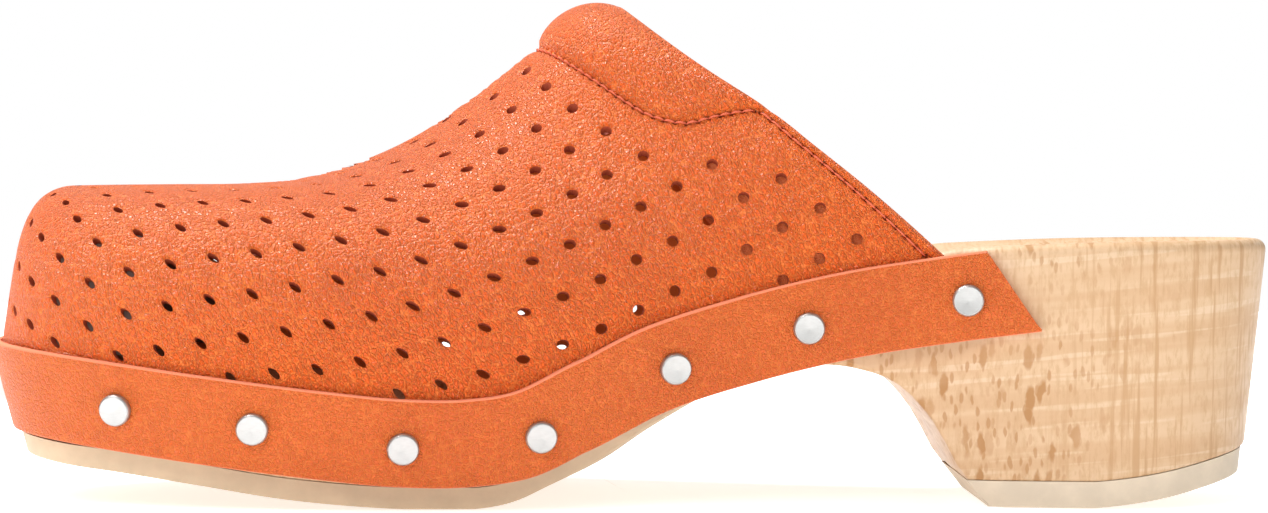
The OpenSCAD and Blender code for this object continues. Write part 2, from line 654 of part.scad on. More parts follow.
// The collar's seam comes down from the ridge, turns a round corner and runs out to the topline
collar_seam_q = collar_q - 0.004;
turn_q = 0.03;
turn_phi = 9;
function collar_point(side, q, phi) = seam_point(side, q, phi, collar_lift);
function collar_seam(side) =
  concat(
    [for (i = [0:SEAM_SAMPLES])
      collar_point(side, collar_seam_q, lerp(89, collar_phi + turn_phi, i / SEAM_SAMPLES))],
    [for (a = [10:10:90])
      collar_point(side, collar_seam_q + turn_q * (1 - cos(a)), collar_phi + turn_phi * (1 - sin(a)))],
    [for (i = [1:10])
      collar_point(side, lerp(collar_seam_q + turn_q, topline_q - 0.004, i / 10), collar_phi)]);

module seam(points, pitch) {
  lengths = path_lengths(points);
  total = lengths[len(lengths) - 1];
  function at(s) =
    let(i = segment_at(lengths, s), t = (s - lengths[i]) / (lengths[i + 1] - lengths[i]))
    lerp(points[i], points[i + 1], t);
  for (s = [0:pitch:total - pitch]) {
    a = at(s + stitch_gap);
    b = at(s + pitch - stitch_gap);
    translate(a) face(unit(b - a)) cylinder(d = thread_d, h = norm(b - a), $fn = 6);
  }
}
module topline_stitching() {
  color("indianred") centred() for (side = [NEAR, FAR]) seam(topline_seam(side), topline_pitch);
}
module collar_stitching() {
  color("indianred") centred() for (side = [NEAR, FAR]) seam(collar_seam(side), collar_pitch);
}

// ---- nodes -----------------------------------------------------------------------------------------

wooden_sole();
forefoot_outsole();
heel_top_piece();
leather_upper();
toe_puff();
collar_foam();
collar_lining();
band();
toe_plate();
toe_plate_nails();
lasting_staples();
topline_stitching();
collar_stitching();
for (i = [1:2 * NAILS_PER_SIDE]) band_nail(i);
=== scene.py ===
"""A wooden clog: carved beech sole, perforated leather upper, nailed leather band. Metres, toe to -X."""
import math

import bpy
import numpy as np
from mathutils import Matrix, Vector
from mathutils.geometry import delaunay_2d_cdt


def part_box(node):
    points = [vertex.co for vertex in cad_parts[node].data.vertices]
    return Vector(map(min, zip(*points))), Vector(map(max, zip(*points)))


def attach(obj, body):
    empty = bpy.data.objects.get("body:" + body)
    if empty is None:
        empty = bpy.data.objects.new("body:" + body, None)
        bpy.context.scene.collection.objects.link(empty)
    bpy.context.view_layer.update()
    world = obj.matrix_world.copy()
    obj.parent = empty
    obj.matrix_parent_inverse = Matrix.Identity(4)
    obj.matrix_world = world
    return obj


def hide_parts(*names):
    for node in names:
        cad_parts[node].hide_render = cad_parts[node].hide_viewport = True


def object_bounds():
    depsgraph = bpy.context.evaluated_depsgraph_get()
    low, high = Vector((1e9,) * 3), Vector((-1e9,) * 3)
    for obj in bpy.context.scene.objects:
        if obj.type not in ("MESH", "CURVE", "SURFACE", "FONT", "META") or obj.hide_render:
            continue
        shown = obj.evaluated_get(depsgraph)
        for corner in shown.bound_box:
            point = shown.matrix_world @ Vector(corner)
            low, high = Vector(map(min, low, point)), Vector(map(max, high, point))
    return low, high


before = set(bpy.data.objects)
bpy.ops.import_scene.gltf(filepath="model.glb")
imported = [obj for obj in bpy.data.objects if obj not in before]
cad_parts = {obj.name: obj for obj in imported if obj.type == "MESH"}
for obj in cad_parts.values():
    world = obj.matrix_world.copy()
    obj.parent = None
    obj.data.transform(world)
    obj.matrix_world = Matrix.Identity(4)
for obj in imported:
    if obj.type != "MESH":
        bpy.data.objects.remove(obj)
cad_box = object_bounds()
MM = 0.001

# ---- the studio ------------------------------------------------------------------------------------
# The shoe stands on a pale floor, seen from its inner side by a camera a little above the heel seat.
# One broad lamp overhead, two soft panels and pale surroundings give an even, bright light.

scene = bpy.context.scene
scene.view_settings.view_transform = "Standard"

low, high = (Vector(corner) for corner in cad_box)
middle = (low + high) / 2
CAMERA_DISTANCE = 0.745
CAMERA_HEIGHT = 0.0626
CAMERA_TO_HEEL = 0.0001
CAMERA_ROLL = -0.0065
camera_data = bpy.data.cameras.new("camera")
camera_data.lens = 104.3
camera_data.sensor_width = 36
camera_data.shift_y = -0.056
camera = bpy.data.objects.new("camera", camera_data)
camera.location = (middle.x + CAMERA_TO_HEEL, middle.y - CAMERA_DISTANCE, CAMERA_HEIGHT)
camera.rotation_euler = (math.pi / 2, CAMERA_ROLL, 0)
scene.collection.objects.link(camera)
scene.camera = camera


def soft_lamp(name, place, size, watts):
    data = bpy.data.lights.new(name, "AREA")
    data.shape = "RECTANGLE"
    data.size, data.size_y = size
    data.energy = watts
    lamp = bpy.data.objects.new(name, data)
    lamp.location = place
    lamp.rotation_euler = (middle - Vector(place)).to_track_quat("-Z", "Y").to_euler()
    scene.collection.objects.link(lamp)


soft_lamp("top_lamp", (-0.30, 0.15, 0.80), (0.5, 0.35), 12.0)
soft_lamp("front_panel", (-0.45, -1.0, 0.75), (0.8, 0.5), 6.8)
soft_lamp("heel_panel", (0.9, -0.6, 0.35), (0.6, 0.7), 0.6)

# The white backdrop is brighter than the light that it gives.
world = bpy.data.worlds.new("studio")
world.use_nodes = True
nodes, links = world.node_tree.nodes, world.node_tree.links
room_light, backdrop = nodes["Background"], nodes.new("ShaderNodeBackground")
room_light.inputs["Color"].default_value = (1, 1, 1, 1)
room_light.inputs["Strength"].default_value = 0.50
backdrop.inputs["Color"].default_value = (1, 1, 1, 1)
light_path, choose = nodes.new("ShaderNodeLightPath"), nodes.new("ShaderNodeMixShader")
links.new(light_path.outputs["Is Camera Ray"], choose.inputs[0])
links.new(room_light.outputs[0], choose.inputs[1])
links.new(backdrop.outputs[0], choose.inputs[2])
links.new(choose.outputs[0], nodes["World Output"].inputs["Surface"])
scene.world = world


def link_object(name, mesh, materials):
    thing = bpy.data.objects.new(name, mesh)
    scene.collection.objects.link(thing)
    for finish in materials:
        mesh.materials.append(finish)
    return thing


def surface_mesh(name, points, faces, sharp_angle=35.0):
    """A smooth-shaded mesh, creased where its faces meet at more than sharp_angle degrees."""
    mesh = bpy.data.meshes.new(name)
    mesh.from_pydata([tuple(p) for p in points], [], [tuple(int(i) for i in f) for f in faces])
    mesh.validate()
    mesh.shade_smooth()
    mesh.set_sharp_from_angle(angle=math.radians(sharp_angle))
    return mesh


class Finish:
    """Builds a node material round one Principled shader, in the frame's own coordinates."""

    def __init__(self, name, colour, roughness, **sockets):
        self.material = bpy.data.materials.new(name)
        self.material.use_nodes = True
        self.tree = self.material.node_tree
        self.shader = self.tree.nodes["Principled BSDF"]
        self.shader.inputs["Base Color"].default_value = (*colour, 1)
        self.shader.inputs["Roughness"].default_value = roughness
        for socket, value in sockets.items():
            self.shader.inputs[socket.replace("_", " ")].default_value = value
        self.place = self.add("ShaderNodeTexCoord").outputs["Object"]

    def add(self, kind, links=None, **values):
        node = self.tree.nodes.new(kind)
        for key, value in values.items():
            setattr(node, key, value)
        for socket, source in (links or {}).items():
            if isinstance(source, bpy.types.NodeSocket):
                self.tree.links.new(source, node.inputs[socket])
            else:
                node.inputs[socket].default_value = source
        return node

    def stretched(self, scale, turn=(0, 0, 0)):
        """The object's coordinates, multiplied by a scale on each axis, then turned."""
        links = {"Vector": self.place, "Scale": scale, "Rotation": turn}
        return self.add("ShaderNodeMapping", links).outputs["Vector"]

    def tipped(self, size, lean, source=None):
        """The object's coordinates, tipped about Y by lean, then divided by a size on each axis."""
        links = {"Vector": source or self.place, "Scale": size, "Rotation": (0, lean, 0)}
        return self.add("ShaderNodeMapping", links, vector_type="TEXTURE").outputs["Vector"]

    def noise(self, scale, detail=3.0, roughness=0.5, vector=None):
        links = {"Vector": vector or self.place, "Scale": scale, "Detail": detail, "Roughness": roughness}
        return self.add("ShaderNodeTexNoise", links).outputs["Fac"]

    def cells(self, scale, vector=None, **values):
        links = {"Vector": vector or self.place, "Scale": scale}
        return self.add("ShaderNodeTexVoronoi", links, **values).outputs["Distance"]

    def calc(self, kind, a, b):
        return self.add("ShaderNodeMath", {0: a, 1: b}, operation=kind).outputs[0]

    def fade(self, value, low, high, low_out=0.0, high_out=1.0):
        """value from low..high, mapped smoothly onto low_out..high_out."""
        links = {"Value": value, "From Min": low, "From Max": high, "To Min": low_out, "To Max": high_out}
        return self.add("ShaderNodeMapRange", links, interpolation_type="SMOOTHSTEP").outputs[0]

    def mix(self, amount, a, b):
        node = self.add("ShaderNodeMix", data_type="RGBA")
        for index, source in ((0, amount), (6, a), (7, b)):
            if isinstance(source, bpy.types.NodeSocket):
                self.tree.links.new(source, node.inputs[index])
            elif index == 0:
                node.inputs[0].default_value = source
            else:
                node.inputs[index].default_value = (*source, 1)
        return node.outputs[2]

    def set(self, socket, source):
        self.tree.links.new(source, self.shader.inputs[socket])

    def bump(self, height, distance, strength=1.0):
        links = {"Height": height, "Distance": distance, "Strength": strength}
        self.set("Normal", self.add("ShaderNodeBump", links).outputs["Normal"])


floor_finish = Finish("studio_floor", (0.93, 0.93, 0.93), 0.6,
                      Emission_Color=(1, 1, 1, 1), Emission_Strength=0.55)
FLOOR_REACH = 1.15
FLOOR_GAP = 0.0002
floor_corners = [(x * FLOOR_REACH, y * FLOOR_REACH, 0) for x, y in ((-1, -1), (1, -1), (1, 1), (-1, 1))]
floor = link_object("floor", surface_mesh("floor", floor_corners, [(0, 1, 2, 3)]), [floor_finish.material])
floor.location.z = low.z - FLOOR_GAP

# ---- the wooden sole -------------------------------------------------------------------------------
# One block of pale beech, carved with a hollowed foot bed, an arch and a block heel. The edge under the
# leather is cut back a little, and the rim round the heel seat is rounded over and sanded.


def clamp01(x):
    return np.clip(x, 0, 1)


def smooth(a, b, x):
    t = clamp01((np.asarray(x, float) - a) / (b - a))
    return t * t * (3 - 2 * t)


def lerp(a, b, t):
    return a + (b - a) * t


def smooth_curve(*knots):
    """A smooth function through a few knots (place, value)."""
    xs, ys = np.array(knots, float).T
    gaps = np.diff(xs)
    rises = np.diff(ys) / gaps
    inner_slopes = (rises[:-1] * gaps[1:] + rises[1:] * gaps[:-1]) / (gaps[1:] + gaps[:-1])
    slopes = np.concatenate([rises[:1], inner_slopes, rises[-1:]])

    def value(x):
        x = np.clip(np.asarray(x, float), xs[0], xs[-1])
        i = np.clip(np.searchsorted(xs, x, side="right") - 1, 0, len(xs) - 2)
        t = (x - xs[i]) / gaps[i]
        return (ys[i] * (1 + 2 * t) * (1 - t) ** 2 + slopes[i] * gaps[i] * t * (1 - t) ** 2
                + ys[i + 1] * t * t * (3 - 2 * t) + slopes[i + 1] * gaps[i] * t * t * (t - 1))

    return value


# The drawing is in millimetres. A place on the outline is q, 0 at the toe tip and 1 at the heel's back.
NEAR, FAR = -1, 1
TOE_X, BALL_X, HEEL_ARC_X, HEEL_X = -126, -42, 88, 127
TOE_ARC_Q, HEEL_ARC_Q = 0.30, 0.78
ARC_POWER = {NEAR: 2.9, FAR: 2.4}
HEEL_ARC_POWER = 2.5
half_width = {
    NEAR: smooth_curve((-127, 44.5), (-42, 44.5), (-20, 42.5), (0, 37.5), (20, 32.5), (42, 30.5),
                       (66, 30.5), (88, 31.5), (127, 31.5)),
    FAR: smooth_curve((-127, 47.5), (-42, 47.5), (-20, 46.8), (0, 43.5), (20, 39), (42, 35),
                      (66, 32.5), (88, 31.5), (127, 31.5))}
mid_line = smooth_curve((-127, -7), (-100, -4.5), (-42, 0), (127, 0))


def outline(side, q):
    """The (x, y) of a place on the outline: an arc round the toe, a side and an arc round the heel."""
    q = np.asarray(q, float)

    def arc(angle, power):
        return (np.abs(np.cos(angle)) ** power + np.abs(np.sin(angle)) ** power) ** (-1 / power)

    toe = np.radians(90) * clamp01(q / TOE_ARC_Q)
    heel = np.radians(90) * clamp01((1 - q) / (1 - HEEL_ARC_Q))
    toe_r, heel_r = arc(toe, ARC_POWER[side]), arc(heel, HEEL_ARC_POWER)
    x = np.where(q < TOE_ARC_Q, BALL_X - (BALL_X - TOE_X) * toe_r * np.cos(toe),
                 np.where(q > HEEL_ARC_Q, HEEL_ARC_X + (HEEL_X - HEEL_ARC_X) * heel_r * np.cos(heel),
                          lerp(BALL_X, HEEL_ARC_X, (q - TOE_ARC_Q) / (HEEL_ARC_Q - TOE_ARC_Q))))
    part = np.where(q < TOE_ARC_Q, toe_r * np.sin(toe),
                    np.where(q > HEEL_ARC_Q, heel_r * np.sin(heel), 1))
    return x, mid_line(x) + side * part * half_width[side](x)


def outline_q(x):
    return lerp(TOE_ARC_Q, HEEL_ARC_Q, (x - BALL_X) / (HEEL_ARC_X - BALL_X))


def outline_out(side, q):
    """The direction straight out from the outline."""
    step = 1e-4
    (xa, ya), (xb, yb) = outline(side, np.clip(q - step, 0, 1)), outline(side, np.clip(q + step, 0, 1))
    dx, dy = xb - xa, yb - ya
    length = np.hypot(dx, dy)
    nx, ny = -side * dy / length, side * dx / length
    q = np.broadcast_to(q, nx.shape)
    return np.where(q <= 0, -1, np.where(q >= 1, 1, nx)), np.where((q <= 0) | (q >= 1), 0, ny)


BAND_WIDTH, BAND_THICKNESS = 17, 1.8
BAND_CURVE_END_X = 80
BED_DROP = 1.0
LEATHER_OUT = -0.2
band_mid = smooth_curve((-127, 23.0), (-104, 20.2), (-82, 17.3), (-60, 14.6), (-44, 13.1), (-32, 13.1),
                        (-22, 14.6), (-10, 20.0), (4, 26.9), (22, 32.8), (42, 37.7), (61, 40.8), (80, 43.4))
flare = smooth_curve((-127, 0.27), (-118, 0.235), (-106, 0.205), (-60, 0.19), (0, 0.16), (60, 0.09),
                     (127, 0.105))


def band_edge(x, up):
    """The height of the band's upper edge where up is 1, and of its lower edge where up is -1."""
    x = np.clip(x, TOE_X, BAND_CURVE_END_X)
    climb = band_mid(x + 0.5) - band_mid(x - 0.5)
    return band_mid(x) + up * BAND_WIDTH / 2 * np.sqrt(1 + climb ** 2)


def wall(side, q, z, out):
    """Points of the side wall, out millimetres outside the drawn outline, ending in x, y, z."""
    q, z, out = np.broadcast_arrays(np.asarray(q, float), z, out)
    x, y = outline(side, q)
    nx, ny = outline_out(side, q)
    d = (z - band_edge(x, 1) + BED_DROP) * flare(x) + out
    return np.stack([x + nx * d, y + ny * d, z], -1)


# The drawing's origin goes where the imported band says.
OVER_BAND = LEATHER_OUT + BAND_THICKNESS
edge_q = np.linspace(0, 1, 400)
near_edge, far_edge = (wall(side, edge_q, band_edge(outline(side, edge_q)[0], 1), OVER_BAND)
                       for side in (NEAR, FAR))
band_low, band_high = (np.array(corner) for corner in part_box("band"))
drawn_middle_y = (near_edge[:, 1].min() + far_edge[:, 1].max()) / 2
band_middle_y = (band_low[1] + band_high[1]) / 2
shift = np.array([band_low[0] - near_edge[0, 0] * MM, band_middle_y - drawn_middle_y * MM, 0])


def placed(points):
    return np.asarray(points).reshape(-1, 3) * MM + shift


FOREFOOT_RUBBER, FOREFOOT_RUBBER_END = 4.2, 0.9
HEEL_RUBBER = 5.2
RUBBER_END_X, BREAST_X = 14, 65
forefoot_tread = smooth_curve((-127, 9.6), (-120, 8.7), (-114, 7.9), (-100, 6.5), (-84, 4.4), (-67, 1.9),
                              (-52, 0.5), (-44, 0.05), (-37, 0), (-30, 0), (-22, 1.4), (-14, 4.8),
                              (-6, 8.8), (2, 14.2), (14, 21.4))
heel_tread = smooth_curve((65, 0), (90, 0), (103, 1.5), (116, 4.0), (127, 6.2))
arch = smooth_curve((14, 22.1), (20.5, 24.3), (28, 26.3), (36, 27.7), (44, 26.9), (51.6, 23.8),
                    (55.5, 20.2), (59.4, 14.9), (63.3, 7.6), (65, HEEL_RUBBER))
heel_top = smooth_curve((66, 51.0), (84, 51.9), (127, 52.8))


def tread(x):
    return np.maximum(0, np.where(x < RUBBER_END_X + 1, forefoot_tread(x), heel_tread(x)))


def rubber_thickness(x):
    return lerp(FOREFOOT_RUBBER, FOREFOOT_RUBBER_END, smooth(-20, RUBBER_END_X, x))


def wood_bottom(x):
    return np.where(x < RUBBER_END_X, tread(x) + rubber_thickness(x),
                    np.where(x < BREAST_X, arch(x), tread(x) + HEEL_RUBBER))


def wood_top(x):
    return lerp(band_edge(x, 1) - BED_DROP, heel_top(x), smooth(48, 67, x))


LEATHER = 1.8
TOPLINE_X, BARE_WOOD_X = 62, 72


def wood_out(x):
    """The wood is cut back by the leather's thickness, as far as the leather goes."""
    return LEATHER_OUT - LEATHER * (1 - smooth(TOPLINE_X, BARE_WOOD_X, x))


TOE_SPINE_INSET, HEEL_SPINE_INSET = 16, 15


def spine_x(q):
    """Where the columns of one side meet those of the other, along the sole's middle line."""
    toe_turn = np.cos(np.radians(90) * clamp01(q / TOE_ARC_Q))
    heel_turn = np.cos(np.radians(90) * clamp01((1 - q) / (1 - HEEL_ARC_Q)))
    toe_x = BALL_X - (BALL_X - TOE_X - TOE_SPINE_INSET) * toe_turn
    heel_x = HEEL_ARC_X + (HEEL_X - HEEL_SPINE_INSET - HEEL_ARC_X) * heel_turn
    return np.where(q < TOE_ARC_Q, toe_x, np.where(q > HEEL_ARC_Q, heel_x, outline(NEAR, q)[0]))


def spine(q, z):
    x = spine_x(q)
    return np.stack([x, mid_line(x), z], -1)


SOLE_STEPS = 150
SOLE_CROWDING = 0.055
RIM_RADIUS = 2.4
BED_PARTS = (0.06, 0.14, 0.24, 0.36, 0.5, 0.66, 0.83)
BEVEL = 1.2
CUP_DEPTH = 3.2


def sole_columns(side, q):
    x, spine_at = outline(side, q)[0], spine_x(q)
    out, bottom, top = wood_out(x), wood_bottom(x), wood_top(x)
    deep = wood_top(spine_at) - CUP_DEPTH
    low_spine = spine(q, wood_bottom(spine_at))
    rows = [low_spine]
    for part in (0.75, 0.5, 0.25):
        edge = wall(side, q, bottom, out - BEVEL)
        point = lerp(edge, low_spine, part)
        point[..., 2] = wood_bottom(point[..., 0])
        rows.append(point)
    for angle in np.radians([0, 30, 60, 90]):
        rows.append(wall(side, q, bottom + BEVEL * (1 - np.cos(angle)), out - BEVEL * (1 - np.sin(angle))))
    for part in (0.25, 0.5, 0.75):
        rows.append(wall(side, q, lerp(bottom + BEVEL, top - RIM_RADIUS, part), out))
    for angle in np.radians(np.linspace(0, 90, 8)):
        drop, inward = RIM_RADIUS * (1 - np.sin(angle)), RIM_RADIUS * (1 - np.cos(angle))
        rows.append(wall(side, q, top - drop, out - inward))
    crest = rows[-1]
    bed = spine(q, deep)
    for part in BED_PARTS:
        point = lerp(crest, bed, part)
        point[..., 2] = lerp(crest[..., 2], deep, smooth(-0.12, 0.55, part)) - 0.05
        rows.append(point)
    rows.append(bed)
    return np.stack(rows, 1)


def round_mesh(name, near, far, start_tip=True, end_tip=True):
    """Joins near and far columns, each (columns, points, 3), that share their first and last point.

    They also meet in one column at a tip, and an end that is no tip is closed by a flat face.
    """
    columns, points = near.shape[:2]
    near_index = np.arange(columns * points).reshape(columns, points)
    far_index = near_index + columns * points
    far_index[:, 0], far_index[:, -1] = near_index[:, 0], near_index[:, -1]
    if start_tip:
        far_index[0] = near_index[0]
    if end_tip:
        far_index[-1] = near_index[-1]
    faces = []
    for index, order in ((near_index, 1), (far_index, -1)):
        for i in range(columns - 1):
            for j in range(points - 1):
                faces.append([index[i, j], index[i + 1, j], index[i + 1, j + 1], index[i, j + 1]][::order])
    for i, tip, order in ((0, start_tip, 1), (columns - 1, end_tip, -1)):
        if not tip:
            faces.append([*near_index[i], *far_index[i, -2:0:-1]][::order])
    return surface_mesh(name, *without_spares(placed(np.concatenate([near, far])), faces))


def without_spares(points, faces):
    """Drops the points that no face uses."""
    used, packed = np.unique(np.concatenate([np.array(f) for f in faces]), return_inverse=True)
    ends = np.cumsum([len(f) for f in faces])
    return points[used], np.split(packed, ends[:-1])


sole_q = np.linspace(0, 1, SOLE_STEPS)
sole_q = sole_q - SOLE_CROWDING * np.sin(2 * np.pi * sole_q)


def beech_finish():
    """Pale oiled beech: light growth lines that climb to the heel, fine upright lines that crowd together at
    the heel's back, and the brown lens-shaped ray flecks of a quarter-sawn face."""
    wood = Finish("oiled_beech", (0.78, 0.52, 0.30), 0.42, IOR=1.45)
    parts = wood.add("ShaderNodeSeparateXYZ", {"Vector": wood.place})
    to_heel = wood.fade(parts.outputs["X"], 0.070, 0.112)
    bands = wood.noise(1.0, 3, 0.5, wood.tipped((0.11, 0.033, 0.0043), -0.09))
    colour = wood.mix(wood.fade(bands, 0.36, 0.62), (0.590, 0.402, 0.245), (0.535, 0.340, 0.190))
    pale_lines = wood.noise(1.0, 2, 0.5, wood.tipped((0.045, 0.025, 0.0019), -0.09))
    pale_part = wood.calc("MULTIPLY", wood.fade(pale_lines, 0.58, 0.66), 0.5)
    colour = wood.mix(pale_part, colour, (0.665, 0.505, 0.345))
    upright = wood.noise(1.0, 3, 0.6, wood.stretched((800, 160, 24)))
    upright_strength = wood.fade(to_heel, 0.0, 1.0, 0.22, 0.85)
    upright_part = wood.calc("MULTIPLY", wood.fade(upright, 0.52, 0.66), upright_strength)
    colour = wood.mix(upright_part, colour, (0.43, 0.245, 0.11))
    pores = wood.noise(1.0, 4, 0.7, wood.stretched((1000, 600, 300)))
    colour = wood.mix(wood.fade(pores, 0.46, 0.66, 0.0, 0.55), colour, (0.465, 0.285, 0.14))

    def flecks(size, chance, seed):
        """Upright lens shapes, some cells of a stretched pattern, in loose groups."""
        drift = wood.noise(1.0, 2, 0.5, wood.stretched((420, 120, 380)))
        sideways = wood.add("ShaderNodeCombineXYZ", {"X": wood.calc("MULTIPLY", drift, 0.9)}).outputs[0]
        moved = wood.add("ShaderNodeVectorMath", {0: wood.stretched(size), 1: seed}, operation="ADD")
        bent = wood.add("ShaderNodeVectorMath", {0: moved.outputs[0], 1: sideways}, operation="ADD")
        cell = wood.add("ShaderNodeTexVoronoi", {"Vector": bent.outputs[0], "Scale": 1.0})
        lens = wood.fade(cell.outputs["Distance"], 0.28, 0.46, 1.0, 0.0)
        hue = wood.add("ShaderNodeSeparateColor", {"Color": cell.outputs["Color"]})
        return wood.calc("MULTIPLY", lens, wood.fade(hue.outputs["Red"], chance, chance + 0.25))

    patches = wood.noise(1.0, 2, 0.5, wood.stretched((34, 34, 46), (0, 0.2, 0)))
    groups = wood.fade(patches, 0.38, 0.56, 0.22, 1.0)
    large = flecks((430, 50, 150), 0.40, (3, 1, 7))
    small = wood.calc("MULTIPLY", flecks((950, 90, 330), 0.35, (11, 5, 2)), 0.72)
    all_flecks = wood.calc("MULTIPLY", wood.calc("MAXIMUM", large, small), groups)
    all_flecks = wood.calc("MULTIPLY", all_flecks, wood.fade(to_heel, 0.0, 1.0, 1.0, 0.22))
    colour = wood.mix(all_flecks, colour, (0.37, 0.18, 0.06))
    wood.set("Base Color", colour)
    wood.set("Roughness", wood.fade(pores, 0.3, 0.8, 0.38, 0.56))
    fleck_dent = wood.calc("MULTIPLY", all_flecks, 0.2)
    grain = wood.calc("SUBTRACT", wood.calc("MULTIPLY", upright, 0.5), fleck_dent)
    wood.bump(wood.calc("ADD", grain, wood.calc("MULTIPLY", pores, 0.5)), 0.00010, 0.6)
    return wood.material


beech = beech_finish()


def place_piece(name, mesh, finishes, slot, *nodes):
    """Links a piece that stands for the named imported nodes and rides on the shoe's one body."""
    piece = link_object(name, mesh, finishes)
    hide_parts(*nodes)
    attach(piece, "root")
    return piece


place_piece("wooden_sole", round_mesh("wooden_sole", sole_columns(NEAR, sole_q), sole_columns(FAR, sole_q)),
            [beech], "wooden_sole", "wooden_sole")

# ---- the rubber treads -----------------------------------------------------------------------------
# Two sheets of smooth tan rubber, glued on and trimmed just inside the wood: one under the forefoot that
# thins out towards the arch, and a thicker piece under the heel with a slanted front.

RUBBER_EDGE, RUBBER_INSET = 0.5, 0.6
TOE_FILL, TOE_FILL_END_X = 2.7, -100
HEEL_FRONT_SLANT, HEEL_FRONT_FADE = 4.2, 12


def rubber_finish(name, colour):
    rubber = Finish(name, colour, 0.62, IOR=1.5)
    mottle = rubber.noise(160, 4, 0.6)
    darker = tuple(c * 0.88 for c in colour)
    rubber.set("Base Color", rubber.mix(rubber.fade(mottle, 0.3, 0.7), colour, darker))
    rubber.bump(rubber.noise(1400, 3, 0.6), 0.00006, 0.5)
    return rubber.material


def rubber_columns(side, q, thickness, out, slant):
    """Columns of a tread of some thickness, whose lower face is moved back by slant."""
    x = outline(side, q)[0]
    bottom, step = tread(x), np.stack([slant(x), 0 * x, 0 * x], -1)
    low = wall(side, q, bottom, out)
    low_spine = spine(q, tread(spine_x(q))) + step
    top_spine = spine(q, tread(spine_x(q)) + thickness(spine_x(q)))
    rows = [low_spine]
    for part in (0.66, 0.33):
        point = lerp(low + step, low_spine, part)
        point[..., 2] = tread(point[..., 0] - step[..., 0])
        rows.append(point)
    for angle in np.radians([0, 30, 60, 90]):
        up, inward = RUBBER_EDGE * (1 - np.cos(angle)), RUBBER_EDGE * (1 - np.sin(angle))
        rows.append(wall(side, q, bottom + up, out - inward) + step)
    for part, lean in ((0.5, 0.5), (1.0, 0.0)):
        rows.append(wall(side, q, bottom + thickness(x) * part, out) + step * lean)
    edge = rows[-1]
    for part in (0.33, 0.66):
        point = lerp(edge, top_spine, part)
        point[..., 2] = tread(point[..., 0]) + thickness(point[..., 0])
        rows.append(point)
    return np.stack(rows + [top_spine], 1)


def forefoot_columns(side):
    q = outline_q(RUBBER_END_X) * np.linspace(0, 1, 110) ** 1.3
    x = outline(side, q)[0]
    toe_fill = TOE_FILL * (1 - smooth(TOE_X, TOE_FILL_END_X, x))
    return rubber_columns(side, q, rubber_thickness, wood_out(x) - RUBBER_INSET + toe_fill, lambda x: 0 * x)


def heel_columns(side):
    q = lerp(outline_q(BREAST_X), 1, 1 - (1 - np.linspace(0, 1, 70)) ** 1.3)
    out = wood_out(outline(side, q)[0]) - RUBBER_INSET
    return rubber_columns(side, q, lambda x: 0 * x + HEEL_RUBBER, out,
                          lambda x: HEEL_FRONT_SLANT * (1 - smooth(BREAST_X, BREAST_X + HEEL_FRONT_FADE, x)))


outsole_mesh = round_mesh("forefoot_outsole", forefoot_columns(NEAR), forefoot_columns(FAR), end_tip=False)
place_piece("forefoot_outsole", outsole_mesh, [rubber_finish("forefoot_rubber", (0.555, 0.42, 0.275))],
            "forefoot_outsole", "forefoot_outsole")
heel_mesh = round_mesh("heel_top_piece", heel_columns(NEAR), heel_columns(FAR), start_tip=False)
place_piece("heel_top_piece", heel_mesh, [rubber_finish("heel_rubber", (0.635, 0.53, 0.405))],
            "heel_top_piece", "heel_top_piece")

# ---- the perforated upper --------------------------------------------------------------------------
# One piece of grained orange leather, pulled over a last and stapled to the wood under the band. It is
# punched with staggered rows of holes, and folded over a pad along the top edge. Lasting has drawn the
# holes near the toe into slants.

TOPLINE_Q = outline_q(TOPLINE_X)
EDGE_Q = TOPLINE_Q - 0.009
FOLD_Q = EDGE_Q - 0.020
FOLDED = 3.1
COLLAR_RISE = 5.0
MARGIN = 11.0
ridge_x = smooth_curve((0, -112), (0.1, -108), (0.2, -92), (0.3, -66), (0.45, -40), (0.6, -16),
                       (TOPLINE_Q, -3))
ridge_z = smooth_curve((-112, 61.9), (-104, 62.1), (-92, 62.3), (-80, 62.5), (-68, 63.6), (-56, 67.1),
                       (-44, 72.8), (-32, 81.2), (-19, 91.0), (-12, 93.9), (-6, 95.0), (-1, 94.8))
fullness = smooth_curve((0, 2.6), (0.2, 3.1), (0.35, 3.0), (0.5, 2.4), (TOPLINE_Q, 2.2))
topline_bow = smooth_curve((0, 0), (0.13, 1.9), (0.33, 4.1), (0.5, 5.2), (0.62, 5.9), (0.8, 2.8), (1, 0))
TOE_LEAN, TOE_LEAN_END_Q = 2.2, 0.14


def upper_half(side, q, climb, inset):
    """A point of one side of the upper, from its margin (climb below 0) over the band's edge (0) to 90."""
    x = outline(side, q)[0]
    start = wall(side, q, band_edge(x, 1) - BED_DROP, LEATHER_OUT - inset)
    top_x, power = ridge_x(q), fullness(q)
    angle = np.radians(np.clip(climb, 0, 90))
    across = 1 - np.maximum(np.cos(angle), 0) ** (2 / power)
    up = np.sin(angle) ** (2 / power)
    lean = smooth(0.2, TOPLINE_Q, q)
    toe = TOE_LEAN * (1 - smooth(0, TOE_LEAN_END_Q, q)) * np.sin(np.pi * up)
    point = np.stack([lerp(start[..., 0], top_x, lerp(across, up, lean)) + lean * topline_bow(up) + toe,
                      lerp(start[..., 1], mid_line(top_x), across),
                      lerp(start[..., 2], ridge_z(top_x) - inset, up)], -1)
    under_band = wall(side, q, band_edge(x, 1) - BED_DROP + np.minimum(climb, 0), LEATHER_OUT - inset)
    return np.where((climb < 0)[..., None], under_band, point)


